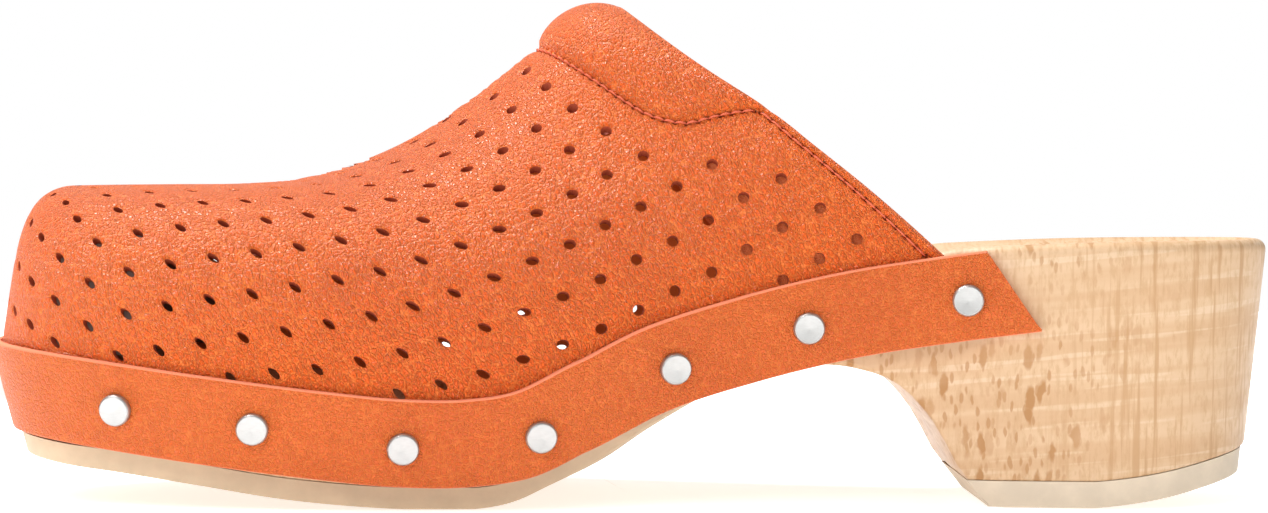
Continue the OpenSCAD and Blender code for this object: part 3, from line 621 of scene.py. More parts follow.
def upper_at(q, climb, inset=0.0):
    """A point of the upper. climb is 0 at the near band, 90 on the ridge and 180 at the far band."""
    q, climb, inset = np.broadcast_arrays(np.asarray(q, float), np.asarray(climb, float), inset)
    return np.where((climb <= 90)[..., None], upper_half(NEAR, q, climb, inset),
                    upper_half(FAR, q, 180 - climb, inset))


def unit(v):
    return v / np.linalg.norm(v, axis=-1, keepdims=True)


SLOPE_Q, SLOPE_CLIMB = 0.003, 0.8


def upper_slopes(q, climb):
    """How the surface moves per unit of q and per degree of climb."""
    q, climb = np.broadcast_arrays(np.asarray(q, float), np.asarray(climb, float))
    q0, q1 = np.clip(q - SLOPE_Q, 0, 1), q + SLOPE_Q
    along = (upper_at(q1, climb) - upper_at(q0, climb)) / (q1 - q0)[..., None]
    over = (upper_at(q, climb + SLOPE_CLIMB) - upper_at(q, climb - SLOPE_CLIMB)) / (2 * SLOPE_CLIMB)
    return along, over


def upper_out(q, climb):
    return unit(np.cross(*upper_slopes(q, climb)))


COLLAR_Q, COLLAR_CLIMB, COLLAR_BLEND = 0.575, 37.0, 50


def collar_swell(q, climb):
    """The padded collar's height, 0 at its seam and near 1 in its middle."""
    climb = np.where(climb <= 90, climb, 180 - climb)
    a = clamp01((q - COLLAR_Q) / (TOPLINE_Q - COLLAR_Q))
    b = clamp01((climb - COLLAR_CLIMB) / COLLAR_BLEND)
    return np.sin(np.radians(150) * a) ** 0.6 * np.sin(np.pi / 2 * b) ** 0.8 * lerp(0.7, 1, climb / 90)


def skin_at(q, climb, inset=0.0):
    lift = collar_swell(q, climb) * COLLAR_RISE
    return upper_at(q, climb, inset) + upper_out(q, climb) * lift[..., None]


# The holes stand in rows at even distances below the ridge, and the rows run straight ahead over the toe.
HOLE_D, HOLE_PITCH = 2.3, 8.25
ROWS, FAR_ROW_SHIFT_Q = 10, 0.008
ROW_END_Q = (0.535, 0.539, 0.533, 0.529, 0.530, 0.534, 0.580, 0.622, 0.629, 0.634, 0.650)


def row_offset(k, q):
    """How far row k runs below the ridge, across the leather. It is negative on the far side."""
    x, y = outline(NEAR if k > 0 else FAR, q)
    top_x = ridge_x(q)
    fan = np.arctan2(np.maximum(top_x - x, 0), np.abs(y - mid_line(top_x)))
    flat = lerp(11.9 + 8.2 * k, -0.9 + 9.0 * k, clamp01((q - 0.24) / 0.25))
    return flat / np.maximum(np.cos(fan), 0.05)


def lengths_along(points):
    """The length of a line of points, up to each of them."""
    return np.concatenate([[0], np.cumsum(np.linalg.norm(np.diff(points, axis=0), axis=1))])


def along_line(line, lengths, stops):
    """The (q, climb) places at some lengths along a line."""
    return np.stack([np.interp(stops, lengths, line[:, 0]), np.interp(stops, lengths, line[:, 1])], 1)


LONGEST_STEP = 5


def row_holes(k):
    """The (q, climb) of each hole in row k. Rows above 0 lie on the near side."""
    path = []
    end_q = ROW_END_Q[abs(k)] + (FAR_ROW_SHIFT_Q if k < 0 else 0)
    for q in np.linspace(end_q, 0.02, 160):
        offset = float(row_offset(k, q))
        near = offset > 0
        climbs = np.linspace(90, 0 if near else 180, 40)
        walk = upper_at(q, climbs)
        lengths = lengths_along(walk)
        if abs(offset) < lengths[-1] - 0.2:
            path.append((q, float(np.interp(abs(offset), lengths, climbs))))
    if len(path) < 2:
        return []
    path = np.array(path)
    lengths = lengths_along(upper_at(*path.T))
    stops = np.arange(0, lengths[-1], HOLE_PITCH)
    steps = np.clip(np.searchsorted(lengths, stops, side="right") - 1, 0, len(path) - 2)
    on_leather = np.diff(lengths)[steps] < LONGEST_STEP
    return along_line(path, lengths, stops)[on_leather]


holes = np.concatenate([row for k in range(-ROWS, ROWS + 1) if len(row := row_holes(k))])


# The seams are (q, climb) lines on the near side that are mirrored to the far side.
SEAM_Q = TOPLINE_Q - 0.016
seam_climb = np.linspace(1, COLLAR_CLIMB - 0.5, 60)
topline_line = np.stack([np.full_like(seam_climb, SEAM_Q), seam_climb], 1)
corner = np.radians(np.arange(10, 91, 10))
COLLAR_SEAM_Q, TURN_Q, TURN_CLIMB = COLLAR_Q - 0.004, 0.03, 9
across_foot = np.stack([np.full(60, COLLAR_SEAM_Q), np.linspace(90, COLLAR_CLIMB + TURN_CLIMB, 60)], 1)
round_corner = np.stack([COLLAR_SEAM_Q + TURN_Q * (1 - np.cos(corner)),
                         COLLAR_CLIMB + TURN_CLIMB * (1 - np.sin(corner))], 1)
to_edge = np.stack([np.linspace(COLLAR_SEAM_Q + TURN_Q, EDGE_Q - 0.002, 12)[1:],
                    np.full(11, COLLAR_CLIMB)], 1)
collar_line = np.concatenate([across_foot, round_corner, to_edge])


def mirrored(line):
    return np.stack([line[:, 0], 180 - line[:, 1]], 1)


def even_stops(line, pitch):
    """Places on a (q, climb) line, a stitch apart."""
    lengths = lengths_along(skin_at(*line.T))
    return along_line(line, lengths, np.arange(0, lengths[-1], pitch))


TOPLINE_PITCH, COLLAR_PITCH = 2.7, 2.25
topline_lines = (topline_line, mirrored(topline_line))
collar_lines = (collar_line, mirrored(collar_line))
seams = {"topline_stitching": [even_stops(line, TOPLINE_PITCH) for line in topline_lines],
         "collar_stitching": [even_stops(line, COLLAR_PITCH) for line in collar_lines]}
needle_holes = np.concatenate([row for rows in seams.values() for row in rows])
seam_points = skin_at(*np.concatenate(topline_lines + collar_lines).T)
GROOVE_DEPTH, GROOVE_WIDTH, GROOVE_BATCH = 0.35, 1.0, 4000


def groove(points):
    """How deep the thread has pulled the leather in, by distance from the nearest seam."""
    nearest = []
    for start in range(0, len(points), GROOVE_BATCH):
        part = points[start:start + GROOVE_BATCH, None] - seam_points[None]
        nearest.append(np.sqrt((part ** 2).sum(-1)).min(1))
    return GROOVE_DEPTH * np.exp(-(np.concatenate(nearest) / GROOVE_WIDTH) ** 2)


# The leather is cut into triangles in a flat drawing, with rings of (size, depth) round each hole, and
# rings of (radius, points, depth) round each needle hole.
FLAT_Q, FLAT_CLIMB = 280.0, 0.85
RING = 12
RINGS = ((1.0, 0.30), (1.28, 0.10), (1.75, 0.0))
NEEDLE_RINGS = ((0.62, 8, 0.05), (0.34, 6, 0.9))
HOLE_REACH, NEEDLE_REACH = HOLE_D * 1.3, 0.8
COLUMNS, CLIMBS = 104, 88
RIDGE_ZONE = 9
ridge_steps = np.linspace(0, 1, 90) ** 1.6 * (RIDGE_ZONE + 4)
ridge_climbs = 90 + np.concatenate([-ridge_steps[:0:-1], ridge_steps])
RIDGE_Q_REACH = 0.018


def nearest_places(place, targets):
    """The (q, climb) nearest to some points beside the ridge, where climb is too uneven for slopes."""
    near_q = np.linspace(place[0] - RIDGE_Q_REACH, place[0] + RIDGE_Q_REACH, 61)
    grid = upper_at(near_q[:, None], ridge_climbs[None])
    found = []
    for target in targets:
        i, j = np.unravel_index(((grid - target) ** 2).sum(-1).argmin(), grid.shape[:2])
        i, j = np.clip(i, 1, len(near_q) - 2), np.clip(j, 1, len(ridge_climbs) - 2)
        fine_q = np.linspace(near_q[i - 1], near_q[i + 1], 13)
        fine_climb = np.linspace(ridge_climbs[j - 1], ridge_climbs[j + 1], 13)
        fine = ((upper_at(fine_q[:, None], fine_climb[None]) - target) ** 2).sum(-1)
        i, j = np.unravel_index(fine.argmin(), fine.shape)
        found.append((fine_q[i], fine_climb[j]))
    return np.array(found)


def flat_ring(place, radius, count, stretch=(1.0, 1.0), turn=0.0):
    """Points round a place, radius millimetres away on the leather, as (q, climb)."""
    q, climb = place
    along, over = upper_slopes(q, climb)
    e1 = unit(along)
    e2 = unit(over - e1 * np.dot(over, e1))
    angles = np.linspace(0, 2 * np.pi, count, endpoint=False)
    a, b = radius * stretch[0] * np.cos(angles), radius * stretch[1] * np.sin(angles)
    a, b = a * np.cos(turn) - b * np.sin(turn), a * np.sin(turn) + b * np.cos(turn)
    if abs(climb - 90) < RIDGE_ZONE:
        return nearest_places(place, upper_at(q, climb) + e1 * a[:, None] + e2 * b[:, None])
    basis = np.array([[np.dot(along, e1), np.dot(over, e1)], [np.dot(along, e2), np.dot(over, e2)]])
    return place + np.linalg.solve(basis, np.stack([a, b])).T


def hole_shape(place):
    """Stretch and slant of a hole: round near the collar, drawn out towards the toe."""
    q, climb = place
    pull = float((1 - smooth(0.30, 0.50, q)) * smooth(0.0, 0.10, q))
    side = 1 if climb <= 90 else -1
    return (1 + 0.30 * pull, 1 - 0.42 * pull), -side * 0.66 * pull


points, depths, rims = [], [], []
for place in holes:
    stretch, turn = hole_shape(place)
    for scale, depth in RINGS:
        ring = flat_ring(place, HOLE_D / 2 * scale, RING, stretch, turn)
        if scale == 1.0:
            rims.append(range(len(points), len(points) + RING))
        points.extend(ring)
        depths.extend([depth] * RING)
for place in needle_holes:
    for radius, number, depth in NEEDLE_RINGS:
        points.extend(flat_ring(place, radius, number))
        depths.extend([depth] * number)
taken = np.array(points)
centre_points = upper_at(*np.concatenate([holes, needle_holes]).T)
reach = np.concatenate([np.full(len(holes), HOLE_REACH), np.full(len(needle_holes), NEEDLE_REACH)])
column_q = np.linspace(0, 1, COLUMNS) ** 0.92 * FOLD_Q
column_q = np.concatenate([column_q[:-1], np.linspace(FOLD_Q, EDGE_Q, 9)])
climb_at = np.concatenate([np.linspace(-MARGIN, 0, 5)[:-1], np.linspace(0, 180, CLIMBS * 2 + 1),
                           np.linspace(180, 180 + MARGIN, 5)[1:]])
grid_q, grid_climb = (g.ravel() for g in np.meshgrid(column_q, climb_at, indexing="ij"))
grid_points = upper_at(grid_q, grid_climb)
on_edge = np.isin(grid_q, (0, column_q[-1])) | np.isin(grid_climb, (climb_at[0], climb_at[-1]))
clear = np.ones(len(grid_q), bool)
for centre, radius in zip(centre_points, reach):
    clear &= ((grid_points - centre) ** 2).sum(1) > radius ** 2
keep = clear | on_edge
grid_q, grid_climb = grid_q[keep], grid_climb[keep]
points = np.concatenate([taken, np.stack([grid_q, grid_climb], 1)])
depths = np.concatenate([depths, np.zeros(len(grid_q))])
flat = points * (FLAT_Q, FLAT_CLIMB)
rim_edges = [(r[i], r[(i + 1) % RING]) for r in rims for i in range(RING)]
_, _, triangles, sources, _, _ = delaunay_2d_cdt([Vector(p) for p in flat], rim_edges, [], 0, 1e-6, True)
origin = np.array([old[0] for old in sources])
in_rim = np.full(len(points), -1)
for number, rim in enumerate(rims):
    in_rim[list(rim)] = number
triangles = np.array([origin[list(t)] for t in triangles])
owner = in_rim[triangles]
hollow = (owner[:, 0] >= 0) & (owner[:, 0] == owner[:, 1]) & (owner[:, 0] == owner[:, 2])
triangles = triangles[~hollow]
ordered = flat[triangles]
turns = np.cross(ordered[:, 1] - ordered[:, 0], ordered[:, 2] - ordered[:, 0])
triangles[turns < 0] = triangles[turns < 0][:, ::-1]

# The inner skin steps in where the leather is folded back under itself.
all_q, all_climb = points.T
outward = upper_out(all_q, all_climb)
outer = skin_at(all_q, all_climb)
outer = outer - outward * (depths + groove(outer))[:, None]
folded = smooth(FOLD_Q - 0.001, FOLD_Q + 0.003, all_q)
inner_inset = lerp(LEATHER, FOLDED, folded)
inner_lift = collar_swell(all_q, all_climb) * COLLAR_RISE * (1 - folded)
inner = upper_at(all_q, all_climb, inner_inset) + outward * inner_lift[:, None]
count = len(points)
same = np.arange(count)
toe_line = np.where(all_q == 0)[0]
by_climb = {round(float(all_climb[i]), 4): i for i in toe_line}
for i in toe_line:
    if all_climb[i] > 90:
        same[i] = by_climb[round(180 - float(all_climb[i]), 4)]
GRAIN_SIDE, FLESH_SIDE, CUT_EDGE = 0, 1, 2
faces = [list(same[t]) for t in triangles] + [list(same[t][::-1] + count) for t in triangles]
finish_of = [GRAIN_SIDE] * len(triangles) + [FLESH_SIDE] * len(triangles)
for rim in rims:
    for i in range(RING):
        a, b = rim[i], rim[(i + 1) % RING]
        faces.append([b, a, a + count, b + count])
        finish_of.append(CUT_EDGE)


def in_order(chosen, key):
    return chosen[np.argsort(key[chosen])]


for level, order in ((climb_at[0], 1), (climb_at[-1], -1)):
    lower = in_order(np.where(all_climb == level)[0], all_q)
    for a, b in zip(lower[:-1], lower[1:]):
        faces.append([same[b], same[a], same[a] + count, same[b] + count][::order])
        finish_of.append(CUT_EDGE)

# The edge is rolled over, half a turn from the outer skin to the inner.
rolled = in_order(np.where(all_q == column_q[-1])[0], all_climb)
ROLL_STEPS, ROLL_REACH = 10, 2.4
edge_out_points, edge_in_points = outer[rolled], inner[rolled]
roll_middle, roll_half = (edge_out_points + edge_in_points) / 2, (edge_out_points - edge_in_points) / 2
rearward = unit(upper_slopes(all_q[rolled], all_climb[rolled])[0])
radius = np.linalg.norm(roll_half, axis=1, keepdims=True)
rows = [rolled]
extra = []
for step in range(1, ROLL_STEPS):
    angle = np.pi * step / ROLL_STEPS
    turned = roll_half * np.cos(angle) + rearward * np.minimum(radius, ROLL_REACH) * np.sin(angle)
    extra.append(roll_middle + turned)
    rows.append(2 * count + (step - 1) * len(rolled) + np.arange(len(rolled)))
rows.append(rolled + count)
for upper_row, lower_row in zip(rows[:-1], rows[1:]):
    for i in range(len(rolled) - 1):
        faces.append([upper_row[i], lower_row[i], lower_row[i + 1], upper_row[i + 1]])
        finish_of.append(GRAIN_SIDE)
for i in (0, -1):
    faces.append([row[i] for row in rows][::1 if i else -1])
    finish_of.append(CUT_EDGE)
shell = np.concatenate([outer, inner] + extra)


def leather_finish(name, colour, grain, depth, roughness=0.42, along=1.0, lean=0.0, pale=0.30):
    """Dyed leather: pebbled cells of two sizes, slight cloudiness, and a waxed sheen on the high spots.

    along below 1 draws the cells out upwards, lean tips them, and pale lightens the lines between them with
    a painted highlight of the pebbles' edges.
    """
    hide = Finish(name, colour, roughness, IOR=1.45, Sheen_Weight=0.12, Sheen_Roughness=0.35,
                  Sheen_Tint=(1.0, 0.70, 0.50, 1))
    waves = hide.add("ShaderNodeTexNoise", {"Vector": hide.place, "Scale": 260.0, "Detail": 2.0})
    drift = hide.add("ShaderNodeVectorMath", {0: waves.outputs["Color"], "Scale": 0.0011},
                     operation="SCALE").outputs["Vector"]
    bent = hide.add("ShaderNodeVectorMath", {0: hide.place, 1: drift}, operation="ADD").outputs["Vector"]
    drawn = hide.tipped((1, 1, 1 / along), lean, bent)
    pebble = hide.cells(grain, drawn, feature="DISTANCE_TO_EDGE")
    small = hide.cells(grain * 2.1, drawn, feature="DISTANCE_TO_EDGE")
    small_part = hide.calc("MULTIPLY", hide.fade(small, 0.0, 0.20), 0.6)
    raised = hide.calc("ADD", hide.fade(pebble, 0.0, 0.22), small_part)
    wrinkles = hide.noise(520, 3, 0.6, hide.tipped((1, 1, 1 / along ** 2), lean))
    swell = hide.noise(150, 2, 0.5)
    height = hide.calc("ADD", raised, hide.calc("MULTIPLY", wrinkles, 0.6))
    height = hide.calc("ADD", height, hide.calc("MULTIPLY", swell, 0.7))
    clouds = hide.noise(38, 3, 0.5)
    deeper = tuple(c * f for c, f in zip(colour, (0.95, 0.88, 0.82)))
    # Painted highlight: the lines between the cells are lightened to stand in for light catching the
    # pebbles' edges.
    painted_highlight_colour = tuple(min(1, c * f) for c, f in zip(colour, (1.06, 2.0, 4.5)))
    tone = hide.mix(hide.fade(clouds, 0.3, 0.7), colour, deeper)
    hide.set("Base Color", hide.mix(hide.fade(pebble, 0.0, 0.16, pale, 0.0), tone, painted_highlight_colour))
    hide.set("Roughness", hide.fade(raised, 0.2, 1.4, roughness + 0.20, roughness - 0.06))
    hide.bump(height, depth, 1.0)
    return hide.material


ORANGE = (0.82, 0.122, 0.008)
grained = leather_finish("grained_orange_leather", ORANGE, 1050, 0.00042, 0.37, 0.55, -0.48, 0.42)
flesh = Finish("flesh_side", (0.92, 0.25, 0.06), 0.85)
flesh.bump(flesh.noise(1800, 4, 0.7), 0.0001, 0.6)
cut_edge = Finish("cut_leather_edge", (0.34, 0.05, 0.015), 0.8)
cut_edge.bump(cut_edge.noise(2500, 3, 0.6), 0.00008, 0.6)

kept_points, kept_faces = without_spares(placed(shell), faces)
upper_mesh = surface_mesh("leather_upper", kept_points, kept_faces, 50)
upper_mesh.polygons.foreach_set("material_index", finish_of)
place_piece("leather_upper", upper_mesh, [grained, flesh.material, cut_edge.material],
            "leather_upper", "leather_upper")

# ---- inside the upper ------------------------------------------------------------------------------
# A stiff felt puff that shapes the toe, darkened as painted shade of the toe's inside, a crescent of foam
# that fills the padded collar, and a strip of smooth leather that lines the topline from band to band.

GAP = 0.1
LINING, LINING_Q = 0.9, 0.548
PUFF_THICKNESS, PUFF_Q = 1.2, 0.19
PAD_MARGIN = 4
THINNEST_PAD = 0.25


def ring_mesh(name, columns, sharp_angle=35.0, finish_of_ring=None):
    """A solid swept through columns, each a closed ring of points, with a flat cap at both ends."""
    columns = np.asarray(columns)
    n, k = columns.shape[:2]
    faces, finishes = [], []
    for i in range(n - 1):
        for j in range(k):
            a, b = i * k + j, i * k + (j + 1) % k
            faces.append([a, b, b + k, a + k])
            finishes.append(finish_of_ring[j] if finish_of_ring else 0)
    faces += [list(range(k))[::-1], [(n - 1) * k + j for j in range(k)]]
    finishes += [finish_of_ring[-1] if finish_of_ring else 0] * 2
    points = placed(columns)
    ends = [points[f] for f in faces]
    volume = sum(np.dot(f[0], np.cross(f[i], f[i + 1])) for f in ends for i in range(1, len(f) - 1))
    if volume < 0:
        faces = [f[::-1] for f in faces]
    mesh = surface_mesh(name, points, faces, sharp_angle)
    mesh.polygons.foreach_set("material_index", finishes)
    return mesh


def layer_mesh(name, q, climb, outer_of, inner_of):
    """A sheet between two surfaces over a grid of q (across it) and climb (along it)."""
    q = np.asarray(q)
    return ring_mesh(name, [np.concatenate([outer_of(q, c), inner_of(q[::-1], c)]) for c in climb])


puff_inset = LEATHER + GAP
puff_climb = np.linspace(1, 179, 120)
# The felt is darkened to near black as painted shade, so the holes over the toe look into a dark inside.
felt = Finish("toe_puff_felt_and_painted_shade", (0.17, 0.11, 0.09), 0.95)
felt.bump(felt.noise(2200, 4, 0.8), 0.00018, 0.8)
puff_mesh = layer_mesh("toe_puff", np.linspace(0.002, PUFF_Q, 36), puff_climb,
                       lambda q, c: upper_at(q, c, puff_inset),
                       lambda q, c: upper_at(q, c, puff_inset + PUFF_THICKNESS))
place_piece("toe_puff", puff_mesh, [felt.material], "toe_puff", "toe_puff")

pad_climb = np.linspace(COLLAR_CLIMB + PAD_MARGIN, 180 - COLLAR_CLIMB - PAD_MARGIN, 90)
pad_q = np.linspace(COLLAR_Q + 0.008, FOLD_Q - 0.004, 16)


def pad_skin(q, climb):
    lift = np.maximum(collar_swell(q, climb) * COLLAR_RISE, THINNEST_PAD)
    return upper_at(q, climb, LEATHER + GAP) + upper_out(q, climb) * lift[..., None]


foam = Finish("collar_foam", (0.80, 0.72, 0.42), 0.95)
foam.bump(foam.cells(1500), 0.00025, 0.8)
pad_mesh = layer_mesh("collar_foam", pad_q, pad_climb, pad_skin, lambda q, c: upper_at(q, c, LEATHER + GAP))
collar_pad = place_piece("collar_foam", pad_mesh, [foam.material], "collar_foam", "collar_foam")

lining_leather = leather_finish("lining_leather", (0.80, 0.17, 0.04), 1500, 0.00007, 0.55)
lining_q, lining_climb = np.linspace(LINING_Q, FOLD_Q - 0.002, 24), np.linspace(0.5, 179.5, 150)
lining_mesh = layer_mesh("collar_lining", lining_q, lining_climb,
                         lambda q, c: upper_at(q, c, LEATHER + 2 * GAP),
                         lambda q, c: upper_at(q, c, LEATHER + 2 * GAP + LINING))
place_piece("collar_lining", lining_mesh, [lining_leather], "collar_lining", "collar_lining")

# ---- stitching -------------------------------------------------------------------------------------
# Coral thread in two seams: one along the bare part of the topline, and one round the padded collar.
# Each stitch dives into its needle holes.

THREAD = 0.42
THREAD_DIVE, THREAD_TOP = 0.85, 0.80


def tube(path, radii, sides=8):
    """Points and faces of a round tube along a path, closed at both ends."""
    path = np.asarray(path, float)
    ahead = unit(np.gradient(path, axis=0))
    reference = np.array([0.31, 0.57, 0.76])
    across = unit(np.cross(ahead, reference))
    over = np.cross(ahead, across)
    angles = np.linspace(0, 2 * np.pi, sides, endpoint=False)
    spokes = across[:, None] * np.cos(angles)[:, None] + over[:, None] * np.sin(angles)[:, None]
    rings = path[:, None] + spokes * np.asarray(radii)[:, None, None]
    faces = []
    for i in range(len(path) - 1):
        for j in range(sides):
            a, b = i * sides + j, i * sides + (j + 1) % sides
            faces.append([a, b, b + sides, a + sides])
    faces += [list(range(sides))[::-1], [(len(path) - 1) * sides + j for j in range(sides)]]
    return rings.reshape(-1, 3), faces


def merged(parts):
    """One list of points and faces from many."""
    points, faces, base = [], [], 0
    for part_points, part_faces in parts:
        points.append(part_points)
        faces += [[i + base for i in face] for face in part_faces]
        base += len(part_points)
    return np.concatenate(points), faces


def stitch(start, end):
    """A thread that comes up out of one needle hole and goes down into the next."""
    t = np.linspace(0, 1, 9)
    places = start + (end - start) * t[:, None]
    height = THREAD_TOP * np.sin(np.pi * t) ** 0.6 - THREAD_DIVE
    path = skin_at(*places.T) + upper_out(*places.T) * height[:, None]
    return tube(path, THREAD / 2 * (0.62 + 0.38 * np.sin(np.pi * t) ** 0.5))


thread = Finish("coral_thread", (0.62, 0.12, 0.055), 0.75, IOR=1.45)
thread.bump(thread.noise(1.0, 2, 0.5, thread.stretched((5200, 5200, 5200))), 0.00005, 0.7)
for seam, rows in seams.items():
    stitches = [stitch(row[i], row[i + 1]) for row in rows for i in range(len(row) - 1)]
    points, faces = merged(stitches)
    place_piece(seam, surface_mesh(seam, placed(points), faces, 60), [thread.material], seam, seam)

# ---- the band --------------------------------------------------------------------------------------
# A strip of smooth orange leather, nailed round the edge of the sole over the upper's margin. Its edges
# are cut raw and show a paler salmon core, and it ends in a slanted cut under each side of the heel.

BAND_TIP_X, BAND_TOP_END_X = 79, 68.2
BAND_STEPS = 190
EDGE_ROUND = 0.45
# A ring of (height fraction, height offset, depth) that runs up the outer face and down the inner
band_ring = [(0, 0, EDGE_ROUND), (0, 0.13, 0.13), (0, EDGE_ROUND, 0)]
band_ring += [(t, 0, -0.10 * np.sin(np.pi * t)) for t in np.linspace(0.1, 0.9, 9)]
band_ring += [(1, -EDGE_ROUND, 0), (1, -0.13, 0.13), (1, 0, EDGE_ROUND), (1, 0, BAND_THICKNESS * 0.75)]
band_ring += [(t, 0, BAND_THICKNESS) for t in (1, 0.5, 0)] + [(0, 0, BAND_THICKNESS * 0.75)]
SMOOTH_FACE, RAW_EDGE = 0, 1
band_finish = [RAW_EDGE] + [SMOOTH_FACE] * 11 + [RAW_EDGE] * (len(band_ring) - 12)


def band_column(side, part):
    """A ring across the band, at a part of its length from the toe to the slanted cut."""
    column = []
    for t, rise, depth in band_ring:
        q_end = lerp(outline_q(BAND_TIP_X), outline_q(BAND_TOP_END_X), t)
        q = q_end * part ** 0.9
        x = outline(side, q)[0]
        z = lerp(band_edge(x, -1), band_edge(x, 1), t) + rise
        column.append(wall(side, q, z, LEATHER_OUT + BAND_THICKNESS - depth))
    return column


band_parts = np.linspace(0, 1, BAND_STEPS)
band_columns = [band_column(NEAR, part) for part in band_parts[:0:-1]]
band_columns += [band_column(FAR, part) for part in band_parts]
BAND_ORANGE = (0.62, 0.104, 0.008)
band_leather = leather_finish("smooth_orange_leather", BAND_ORANGE, 1050, 0.00018, 0.44, 0.9, 0.0, 0.34)
raw_edge = Finish("raw_salmon_edge", (0.70, 0.20, 0.10), 0.95)
raw_edge.bump(raw_edge.noise(2600, 4, 0.7), 0.0001, 0.7)
place_piece("band", ring_mesh("band", band_columns, 50, band_finish), [band_leather, raw_edge.material],
            "band", "band")

# ---- nails, toe plate and staples ------------------------------------------------------------------
# Flat-headed steel nails hold the band, seven on each side, with faint turning marks on their heads. A
# small steel plate guards the toe and has a little nail at each end. Staples under the band hold the upper.

HEAD_D, HEAD_T, SHANK_D, SHANK_LENGTH = 6.2, 1.6, 1.8, 14
NAIL_Q = (0.174, 0.232, 0.295, *(float(outline_q(x)) for x in (-18, 7.6, 33.7, 64.7)))
NAIL_DROP = (0.3, 0.15, 0.9, 1.7, 1.0, 0.75, 0.6)
NAILS_A_SIDE = len(NAIL_Q)


def wall_axes(side, q, z, out):
    """The place on the side wall, and the directions along the wall's slope, along its length and out."""
    place = wall(side, q, z, out)
    nx, ny = outline_out(side, q)
    outward = unit(np.array([float(nx), float(ny), -float(flare(outline(side, q)[0]))]))
    along = unit(np.cross([0, 0, 1], outward))
    return place, np.cross(along, outward), along, outward


def lathed(profile, axes, segments=48):
    """Points and faces of a turned piece. Its profile (radius, height) starts and ends on the axis."""
    place, e1, e2, e3 = axes
    angles = np.linspace(0, 2 * np.pi, segments, endpoint=False)
    points = [place + e3 * profile[0][1]]
    for radius, height in profile[1:-1]:
        points += [place + e3 * height + (e1 * np.cos(a) + e2 * np.sin(a)) * radius for a in angles]
    points.append(place + e3 * profile[-1][1])
    last = len(points) - 1
    faces = [[0, 1 + (j + 1) % segments, 1 + j] for j in range(segments)]
    for i in range(len(profile) - 3):
        a, b = 1 + i * segments, 1 + (i + 1) * segments
        faces += [[a + j, a + (j + 1) % segments, b + (j + 1) % segments, b + j] for j in range(segments)]
    top = last - segments
    faces += [[top + j, top + (j + 1) % segments, last] for j in range(segments)]
    return np.array(points), faces


def head_profile(diameter, thickness, shank, length, marks):
    """The outline of a nail from its point to the middle of its head, with fine turned rings."""
    r = diameter / 2
    profile = [(0, -length), (shank / 2, shank - length), (shank / 2, 0), (r - 0.25, 0), (r, 0.3),
               (r, thickness * 0.66), (r - 0.10, thickness * 0.84), (r - 0.32, thickness * 0.98)]
    for part in np.linspace(0.86, 0.1, marks):
        profile += [(r * part, thickness), (r * (part - 0.25 / marks), thickness - 0.045)]
    return profile + [(0, thickness - 0.02)]


def steel_finish(name, colour, roughness):
    steel = Finish(name, colour, roughness, Metallic=1.0)
    scratches = steel.noise(1.0, 4, 0.7, steel.stretched((900, 900, 3500)))
    steel.set("Roughness", steel.fade(scratches, 0.3, 0.75, roughness - 0.06, roughness + 0.16))
    steel.bump(scratches, 0.00003, 0.5)
    return steel.material


nail_steel = steel_finish("turned_nail_steel", (0.46, 0.46, 0.45), 0.40)
for number in range(2 * NAILS_A_SIDE):
    side = NEAR if number < NAILS_A_SIDE else FAR
    q = NAIL_Q[number % NAILS_A_SIDE]
    x = float(outline(side, q)[0])
    z = band_mid(x) - NAIL_DROP[number % NAILS_A_SIDE]
    points, faces = lathed(head_profile(HEAD_D, HEAD_T, SHANK_D, SHANK_LENGTH, 5),
                           wall_axes(side, q, z, OVER_BAND))
    name = f"band_nail_{number + 1}"
    place_piece(name, surface_mesh(name, placed(points), faces, 28), [nail_steel], "band_nail", name)

PLATE_T, PLATE_HEIGHT, PLATE_CORNER = 1.2, 6.6, 1.1
PLATE_Q = 0.05
PLATE_Z = float(band_mid(TOE_X)) - 1.2
# A ring of (height, thickness) round the plate, over its domed face and back along its flat one
plate_face = [(0, PLATE_T), (0.5, 1.12), (0.85, 0.95), (0.97, 0.7), (1, 0.25)]
plate_ring = [(-up, out) for up, out in plate_face[:0:-1]] + plate_face
plate_ring += [(up, 0) for up in (1, 0.5, 0, -0.5, -1)]


def plate_column(c):
    side, q = (NEAR if c <= 0 else FAR), PLATE_Q * abs(c)
    half = PLATE_HEIGHT / 2 - PLATE_CORNER * abs(c) ** 6
    return [wall(side, q, PLATE_Z + half * up, OVER_BAND + out) for up, out in plate_ring]


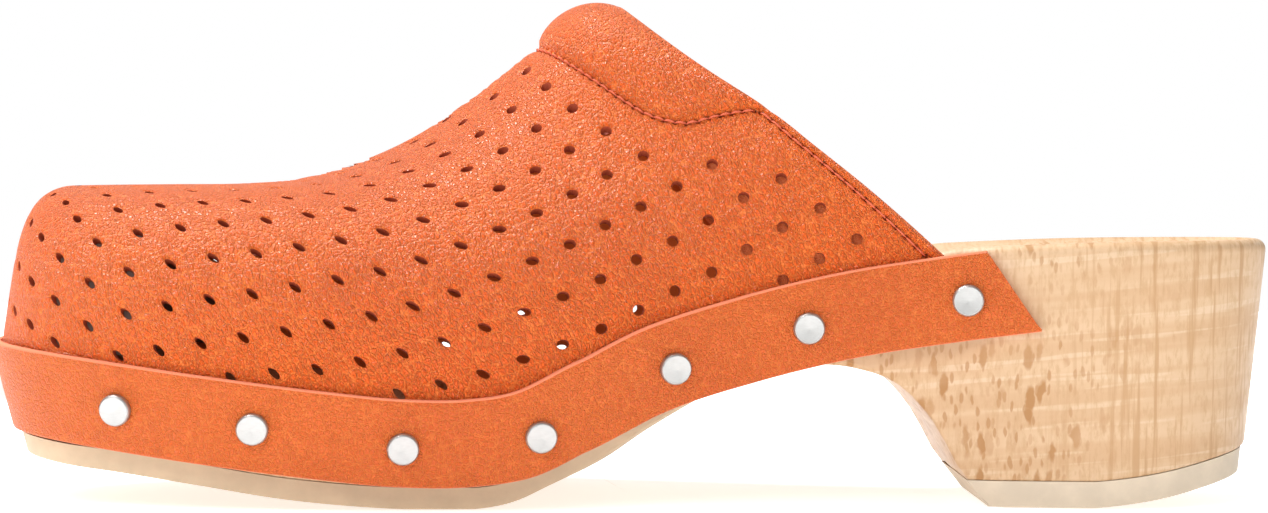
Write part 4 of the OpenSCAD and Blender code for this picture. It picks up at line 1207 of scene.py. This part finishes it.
plate_mesh = ring_mesh("toe_plate", [plate_column(c) for c in np.linspace(-1, 1, 61)], 40)
place_piece("toe_plate", plate_mesh, [steel_finish("toe_plate_steel", (0.74, 0.73, 0.71), 0.34)],
            "toe_plate", "toe_plate")
small_head = head_profile(3.0, 0.8, 1.2, 9, 3)
small_nails = [lathed(small_head, wall_axes(side, PLATE_Q * 0.6, PLATE_Z, OVER_BAND + PLATE_T), 32)
               for side in (NEAR, FAR)]
points, faces = merged(small_nails)
plate_nail_steel = steel_finish("plate_nail_steel", (0.66, 0.65, 0.63), 0.32)
place_piece("toe_plate_nails", surface_mesh("toe_plate_nails", placed(points), faces, 28),
            [plate_nail_steel], "toe_plate_nails", "toe_plate_nails")

STAPLE_WIDTH, STAPLE_LEG, STAPLE_WIRE, STAPLE_BEND, STAPLE_DROP = 8.0, 8.0, 0.8, 0.9, 0.5
staple_reach = (STAPLE_WIDTH - STAPLE_WIRE) / 2
staple_half = [(-staple_reach, -STAPLE_LEG), (-staple_reach, -STAPLE_BEND)]
staple_half += [(STAPLE_BEND * (1 - math.cos(a)) - staple_reach, STAPLE_BEND * (math.sin(a) - 1))
                for a in np.radians([30, 60, 90])]
staple_shape = staple_half + [(-a, b) for a, b in staple_half[::-1]]
staple_radii = [STAPLE_WIRE * 0.2] + [STAPLE_WIRE / 2] * (len(staple_shape) - 2) + [STAPLE_WIRE * 0.2]
staples = []
for n in range(NAILS_A_SIDE - 1):
    for side in (NEAR, FAR):
        q = (NAIL_Q[n] + NAIL_Q[n + 1]) / 2
        z = band_mid(float(outline(side, q)[0])) - STAPLE_DROP
        place, _, along, outward = wall_axes(side, q, z, LEATHER_OUT)
        path = [place + along * a + outward * (b - STAPLE_WIRE / 2) for a, b in staple_shape]
        staples.append(tube(path, staple_radii, 10))
points, faces = merged(staples)
place_piece("lasting_staples", surface_mesh("lasting_staples", placed(points), faces, 50),
            [steel_finish("staple_wire", (0.60, 0.60, 0.60), 0.35)], "lasting_staples", "lasting_staples")
